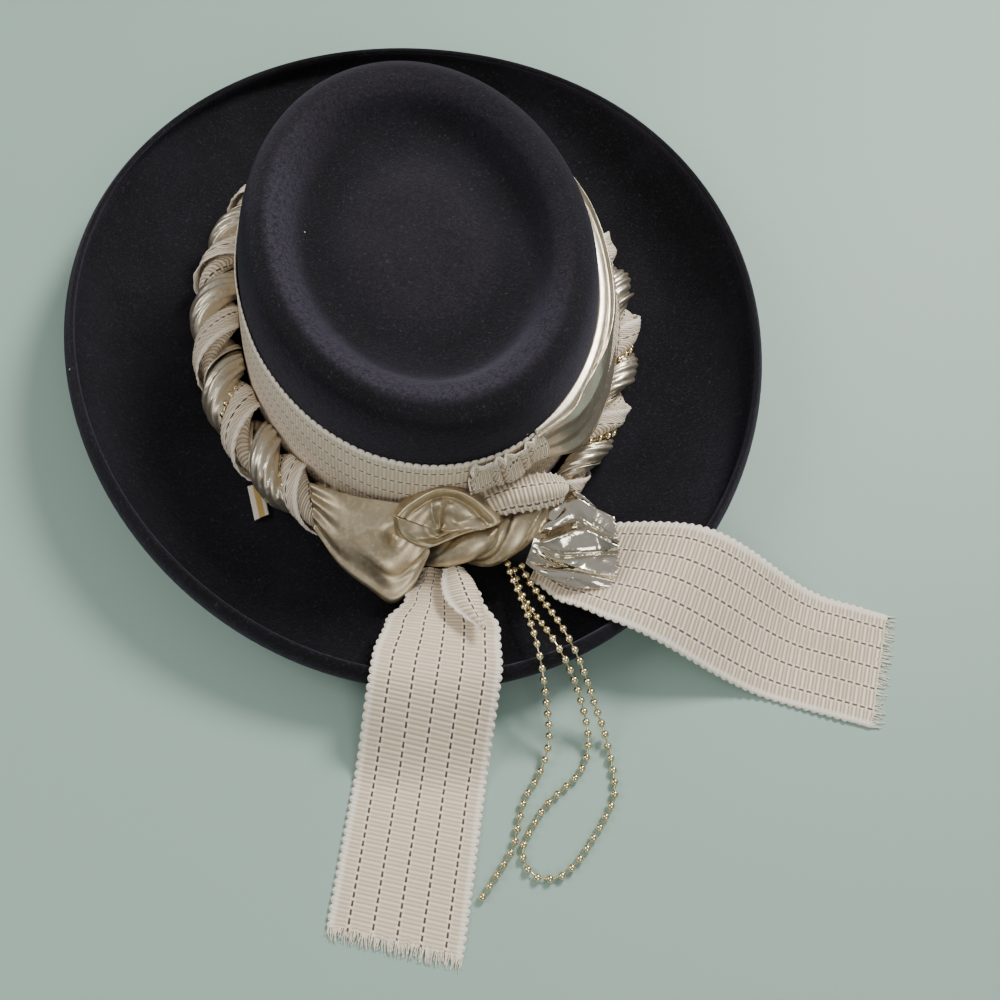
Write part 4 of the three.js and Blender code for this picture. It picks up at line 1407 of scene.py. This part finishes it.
# The part of the left tail that is turned over on its right, from its folded edge to its scalloped one
turnedFold = {
    "folded": [(-0.7, -132.6, 17.5), (2.3, -140.3, 19.8), (3.2, -151.6, 24.2), (1.6, -166.2, 31.2)],
    "loose": [(-9.6, -131.2, 17.0), (-12.1, -139.8, 19.3), (-10.6, -150.7, 23.6), (0.2, -167.4, 31.4)],
    "rise": 2.6,
    "ribLength": 37.0,
}


def makeTurnedFold():
    folded = [Vector(spot) for spot in turnedFold["folded"]]
    loose = [Vector(spot) for spot in turnedFold["loose"]]

    def place(u, v):
        spot, other = lineAt(folded, u), lineAt(loose, u)
        end = smooth((1 - u) / 0.25)
        edge = scallop(u * turnedFold["ribLength"]) * smooth((v - 0.85) / 0.15) * end
        found = spot.lerp(other, v) + (other - spot).normalized() * edge
        rise = turnedFold["rise"] * mix(0.3, 1, end) * math.sin(math.pi * min(v * 1.15, 1)) ** 0.7
        return found + Vector((0, 0, rise + 1.0))

    piece = clothGrid("tailLeftTurnedFold", 90, 16, place, upwards,
                      relief=ribsAlong(turnedFold["ribLength"], 1.6),
                      uvOf=lambda u, v: (u * turnedFold["ribLength"], 14 * (1 - v)), thickness=0.8,
                      material=ribbonRibbed)


makeTurnedFold()


# Knot: the wide flap that spreads from the twist
flapRows = [
    {"inner": (-0.98, 0.32, 1.05), "outer": (-1.0, 0.02, 0.75), "bulge": 0.03},
    {"inner": (-0.82, 0.22, 1.12), "outer": (-0.86, -0.24, 0.5), "bulge": 0.06},
    {"inner": (-0.66, 0.14, 1.15), "outer": (-0.68, -0.42, 0.3), "bulge": 0.08},
    {"inner": (-0.5, 0.08, 1.18), "outer": (-0.53, -0.54, 0.18), "bulge": 0.08},
    {"inner": (-0.36, 0.03, 1.2), "outer": (-0.37, -0.45, 0.35), "bulge": 0.07},
    {"inner": (-0.24, 0, 1.2), "outer": (-0.24, -0.3, 0.75), "bulge": 0.05},
]


def knotPlace(x, y, z):
    return Vector((x * knotWidth, knotY + y * knotWidth, seamTop + z * knotHeight))


def makeFlap():
    inner = [knotPlace(*row["inner"]) for row in flapRows]
    outer = [knotPlace(*row["outer"]) for row in flapRows]
    bulges = [Vector((row["bulge"] * knotWidth, 0, 0)) for row in flapRows]

    def place(u, v):
        bulge = lineAt(bulges, u).x
        spot = lineAt(inner, u).lerp(lineAt(outer, u), v)
        spot.z += bulge * math.sin(math.pi * v) + 1.0
        return spot

    def relief(u, v):
        dimple = -4.2 * bump(u, 0.66, 0.085) * bump(v, 0.4, 0.1)
        ridge = 1.6 * bump(u, 0.5, 0.16) * bump(v, 0.66, 0.12) + 1.1 * bump(v, 0.96, 0.05) * smooth(u * 3)
        groove = -1.3 * bump(v - 0.24 * u, 0.62, 0.03) * bump(u, 0.85, 0.25)
        pleat = 0.8 * math.sin(v * 19) * smooth((0.35 - u) / 0.35)
        pleat += 0.7 * math.sin(v * 15 + 1) * smooth((u - 0.72) / 0.28)
        return dimple + ridge + groove + pleat

    piece = clothGrid("metallicFlap", 90, 70, place, outFromCrown, relief=relief, uvSize=(50, 60),
                      thickness=0.6, material=metallicFold)
    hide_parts("lame_flap")


makeFlap()

# Knot: the rosette. Its outline runs clockwise from its left corner, seen from the front and above.
rosette = {
    "pucker": (-9.0, -118.7, 31.0),
    "outline": [
        (-29.3, -106.6, 31.0), (-24.1, -103.4, 34.0), (-16.6, -101.1, 38.0), (-9.8, -100.2, 41.0),
        (-4.2, -101.1, 42.0), (1.8, -103.1, 41.0), (7.9, -107.0, 39.0), (13.4, -112.4, 36.0),
        (17.6, -117.6, 33.0), (14.6, -119.4, 31.5), (8.2, -119.6, 31.0), (0.4, -120.8, 31.0),
        (-7.6, -122.5, 30.0), (-13.1, -123.6, 29.0), (-17.5, -123.4, 28.0), (-24.0, -119.2, 27.5),
        (-28.4, -113.3, 28.0),
    ],
    "facing": (0.0, -0.5, 0.87),
    "size": 1.07,
    "swirl": 0.1,
    "rim": 4.2,
    "belly": 7.6,
}
# Creases and ridges run out from the pucker. at is round the outline, from 0 to 1.
rosetteFolds = [
    {"at": 0.12, "deep": 1.6, "wide": 0.03, "from": 0.1, "to": 0.75},
    {"at": 0.245, "deep": 2.7, "wide": 0.04, "from": 0.05, "to": 0.7},
    {"at": 0.18, "deep": -1.4, "wide": 0.05, "from": 0.05, "to": 0.7},
    {"at": 0.4, "deep": 1.1, "wide": 0.03, "from": 0.2, "to": 0.8},
    {"at": 0.7, "deep": 2.0, "wide": 0.06, "from": 0.25, "to": 0.7},
    {"at": 0.86, "deep": 1.0, "wide": 0.03, "from": 0.1, "to": 0.9},
]


def makeRosette():
    pucker = Vector(rosette["pucker"])
    outline = [pucker.lerp(Vector(spot), rosette["size"]) for spot in rosette["outline"]]
    outline = outline + outline[:1]
    facing = Vector(rosette["facing"]).normalized()

    def place(u, v):
        # u round the outline, v from the pucker out over the rim and back under it
        edge = lineAt(outline, u)
        top = bump(u, 0.25, 0.22)
        if v < 0.8:
            r = v / 0.8
            lift = rosette["belly"] * math.sin(math.pi * min(r * 0.75, 1)) ** 0.7 * mix(1, 0.85, top)
            rim = rosette["rim"] * top * bump(r, 0.86, 0.12)
            trough = -4.4 * top * crease(r, 0.7, 0.05)
            for row in rosetteFolds:
                apart = abs((u - row["at"] - rosette["swirl"] * (r - 0.4) + 0.5) % 1 - 0.5)
                reach = smooth((r - row["from"]) / 0.12) * smooth((row["to"] - r) / 0.15)
                lift -= 1.4 * row["deep"] * crease(apart, 0, 0.8 * row["wide"] / max(r, 0.35)) * reach
            lift += rim + trough
            return pucker.lerp(edge, r * 0.985) + facing * (lift * smooth((1.02 - r) / 0.14))
        r = (v - 0.8) / 0.2
        under = edge.lerp(pucker, 0.35 * r) - facing * (2.4 * math.sin(math.pi * r / 2))
        return under - Vector((0, 0, 1.6 * r))

    piece = clothGrid("metallicRosette", 150, 60, place, lambda point: facing, closed=(True, False),
                      uvOf=lambda u, v: (u * 90, v * 30), thickness=0.5, material=metallicFold)
    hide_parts("lame_rosette")


makeRosette()

# Knot: the lobes that wrap it. Each is a rolled sheet along its own line. A pleat is given by its
# place across the sheet and its depth.
wrapLobes = [
    {
        "name": "wrapLobeFront",
        "line": [(-17.5, -122.0, 12.0), (-10.2, -124.6, 17.0), (-3.2, -125.2, 21.0), (4.9, -125.0, 24.5),
                 (11.3, -123.6, 27.5), (16.6, -120.4, 30.0)],
        "radii": [3.6, 6.6, 8.0, 8.0, 6.0, 1.6],
        "pleats": [(0.3, 0.16), (0.52, 0.1), (0.72, 0.18)],
        "turn": 0.5,
        "flat": (0.045, 0.042),
    },
    {
        "name": "wrapLobeBack",
        "line": [(2.5, -125.0, 12.0), (11.4, -127.0, 17.0), (18.9, -125.0, 21.5), (25.6, -121.5, 25.5),
                 (32.0, -117.6, 28.0), (38.2, -113.5, 28.0), (43.0, -111.0, 26.0)],
        "radii": [3.5, 8.0, 9.6, 9.6, 8.0, 5.8, 2.4],
        "pleats": [(0.22, 0.16), (0.36, 0.12), (0.5, 0.22), (0.64, 0.16), (0.8, 0.14)],
        "turn": 0.9,
        "flat": (0.047, 0.052),
    },
]


def makeWrapLobe(lobe):
    line = [Vector(spot) for spot in lobe["line"]]
    radii = [Vector((radius, 0, 0)) for radius in lobe["radii"]]
    knots = list(range(len(line)))

    def place(u, v):
        at = u * knots[-1]
        spot = curveAt(line, knots, at)
        ahead = curveAt(line, knots, min(at + 0.05, knots[-1])) - curveAt(line, knots, max(at - 0.05, 0))
        side = ahead.cross(Vector((0, 0, 1))).normalized()
        up = side.cross(ahead.normalized())
        radius = max(curveAt(radii, knots, at).x, 0.4)
        for middle, deep in lobe["pleats"]:
            shift = middle + 0.1 * math.sin(u * 4 + middle * 9)
            radius *= 1 - 1.5 * deep * crease(v, shift, 0.028)
        radius *= mix(0.78, 1.05, smooth(v * 1.4)) + 0.05 * math.sin(v * 21 + u * 6)
        turn = 2 * math.pi * (1.12 * v - 0.32) + lobe["turn"] * u
        lifted = Vector((0, 0, 2.0 * math.sin(math.pi * u)))
        return spot + lifted + side * (radius * math.cos(turn)) + up * (0.82 * radius * math.sin(turn))

    def facing(point):
        nearest = min(line, key=lambda spot: (spot - point).length)
        return point - nearest

    piece = clothGrid(lobe["name"], 70, 60, place, facing, uvSize=(50, 45), thickness=0.5,
                      material=metallicFold)
    return piece


lobes = [makeWrapLobe(lobe) for lobe in wrapLobes]
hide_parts("lame_wrap")

# Knot: the crumpled end of the metallic cloth, from its gathered root to its pinked edge
metallicEnd = {
    "net": [
        [(36.9, -116.8, 28.0), (33.8, -122.3, 29.0), (30.8, -128.3, 29.0),
         (28.4, -132.4, 26.0), (26.2, -135.8, 22.0)],
        [(44.4, -113.4, 30.0), (42.2, -122.6, 32.0), (38.7, -132.4, 32.0),
         (35.8, -139.4, 28.0), (33.1, -144.2, 23.0)],
        [(53.9, -107.7, 31.0), (54.8, -120.5, 34.0), (52.1, -134.5, 34.0),
         (48.5, -144.8, 30.0), (44.6, -151.3, 24.0)],
        [(64.6, -120.1, 31.0), (66.9, -130.0, 34.0), (65.8, -140.6, 34.0),
         (63.3, -149.7, 30.0), (59.1, -155.6, 25.0)],
    ],
    "pleats": [
        {"at": 0.12, "deep": 2.4, "wide": 0.05},
        {"at": 0.3, "deep": -3.2, "wide": 0.055},
        {"at": 0.47, "deep": 2.8, "wide": 0.05},
        {"at": 0.6, "deep": -3.0, "wide": 0.045},
        {"at": 0.74, "deep": 2.2, "wide": 0.05},
        {"at": 0.88, "deep": -1.8, "wide": 0.05},
    ],
    "tooth": 1.5,
    "teeth": 17,
}


def foil(x, y):
    # Sharp-edged crumples, as of foil: the distance to the nearest border between cells.
    near = noise.voronoi(Vector((x, y, 0.4)))[0]
    return min(near[1] - near[0], 0.6) - 0.3


def makeMetallicEnd():
    net = [[Vector(spot) for spot in row] for row in metallicEnd["net"]]

    def place(u, v):
        spot = netAt(net, u, v)
        tooth = abs((v * metallicEnd["teeth"]) % 1 - 0.5) * 2 * metallicEnd["tooth"]
        tooth *= smooth((u - 0.96) / 0.04)
        ahead = (netAt(net, 1, v) - netAt(net, 0.9, v)).normalized()
        return spot + ahead * tooth

    def relief(u, v):
        found = 0.0
        for row in metallicEnd["pleats"]:
            shift = row["at"] + 0.05 * math.sin(u * 5 + row["at"] * 30)
            found += row["deep"] * 1.3 * crease(v, shift, row["wide"]) * smooth(u * 2.2) * mix(1, 0.7, u)
        return found + 2.8 * foil(u * 1.7, v * 2.3) * smooth(u * 3) + 0.7 * foil(u * 3.4 + 9, v * 4.6)

    piece = clothGrid("metallicEnd", 110, 102, place, outFromCrown, relief=relief, uvSize=(45, 45),
                      thickness=0.4, material=metallicBright)
    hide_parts("lame_end")


makeMetallicEnd()
print("knot's metallic cloth made")

# Knot: the ribbon's loop. Rows run from its left end to its right end and then back under it.
loop = {
    "net": [
        [(7.9, -105.5, 36.0), (8.9, -109.7, 37.0), (10.5, -113.4, 36.0), (12.8, -116.3, 33.0)],
        [(19.8, -103.4, 41.0), (19.8, -109.2, 43.5), (20.7, -114.0, 43.0), (22.7, -117.4, 37.0)],
        [(30.5, -103.1, 43.0), (30.3, -109.6, 46.0), (30.6, -114.9, 45.5), (32.3, -118.4, 39.0)],
        [(40.1, -103.1, 43.0), (40.0, -110.2, 47.0), (40.4, -114.9, 46.5), (41.4, -117.8, 40.0)],
        [(46.2, -105.0, 42.0), (47.1, -110.0, 44.5), (46.8, -113.7, 44.0), (45.4, -116.0, 40.0)],
        [(48.0, -105.3, 38.0), (49.5, -108.6, 39.0), (48.8, -111.5, 39.0), (46.5, -113.2, 36.0)],
        [(42.2, -103.3, 36.0), (43.3, -106.6, 36.0), (43.2, -109.6, 36.0), (41.8, -112.4, 34.0)],
        [(29.7, -102.4, 34.0), (29.9, -105.5, 34.0), (30.6, -109.1, 34.0), (31.2, -113.3, 33.0)],
    ],
    "length": 66.0,
}


def makeLoop():
    net = [[Vector(spot) for spot in row] for row in loop["net"]]

    def place(u, v):
        spot = netAt(net, u, v)
        aside = (netAt(net, u, 1) - netAt(net, u, 0)).normalized()
        edge = scallop(u * loop["length"]) * smooth((abs(v - 0.5) - 0.42) / 0.08) * (1 if v > 0.5 else -1)
        return spot + aside * edge

    def facing(point):
        return point - Vector((30, -109, 40))

    piece = clothGrid("ribbonLoop", 230, 24, place, facing, relief=ribsAlong(loop["length"], 2.6),
                      uvOf=lambda u, v: (u * loop["length"], 2 + v * 19), thickness=0.8,
                      material=ribbonStrong)
    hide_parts("ribbon_loop")


makeLoop()

# Knot: the bunched ribbon above the loop, in pleats that fan out from the knot
ruffle = {
    "from": 3.0,
    "to": 28.0,
    "foot": 44.0,
    "depth": 5.4,
    "count": 5,
    "length": 72.0,
}


def makeRuffle():
    start, end = math.radians(ruffle["from"]), math.radians(ruffle["to"])

    def place(u, v):
        shift = u * ruffle["count"] + 0.3 * math.sin(u * 17) + 0.9 * (v - 0.5)
        wave = abs(math.sin(math.pi * shift)) ** 0.7 * (0.75 + 0.25 * math.sin(u * 11 + 2))
        angle = mix(start, end, u) + 0.02 * (v - 0.5) * math.sin(2 * math.pi * shift)
        edge = scallop(u * ruffle["length"]) * smooth((v - 0.93) / 0.07)
        height = mix(ruffle["foot"], bandTop - 0.5, v) + edge
        proud = mix(0.75, 1, math.sin(math.pi * v))
        return wallPoint(angle, height, bandStack + 0.9 + ruffle["depth"] * wave * proud)

    piece = clothGrid("ribbonRuffle", 260, 26, place, outFromCrown, relief=ribsAlong(ruffle["length"], 1.1),
                      uvOf=lambda u, v: (u * ruffle["length"], 34 + v * 22), thickness=0.7,
                      material=ribbonStrong)
    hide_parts("ribbon_ruffle")


makeRuffle()

# The small cut ribbon end that comes from under the twist and lies on the brim
tab = {
    "width": 7.0,
    "length": 18.0,
    "from": (-56, 0.95),
    "to": (-46, 1.48),
}


def makeTab():
    breadth = 4 * twist["radius"] + twist["gap"]
    low = felt["thickness"] + twist["gap"]
    start, end = [wallPoint(math.radians(at), low, out * breadth) for at, out in (tab["from"], tab["to"])]
    along = (end - start).normalized()
    across = Vector((along.y, -along.x, 0))

    def place(u, v):
        slant = 1.6 * (v - 0.5) * u
        spot = start + along * (tab["length"] * u + slant) + across * (tab["width"] * (v - 0.5))
        return spot + Vector((0, 0, 0.9 + 1.8 * u**2 + 0.4 * math.sin(math.pi * v)))

    piece = clothGrid("ribbonEndTab", 24, 10, place, upwards, uvSize=(tab["length"], tab["width"]),
                      thickness=0.7, material=whiteTab)
    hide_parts("ribbon_end_tab")


makeTab()
print("knot's ribbon made")
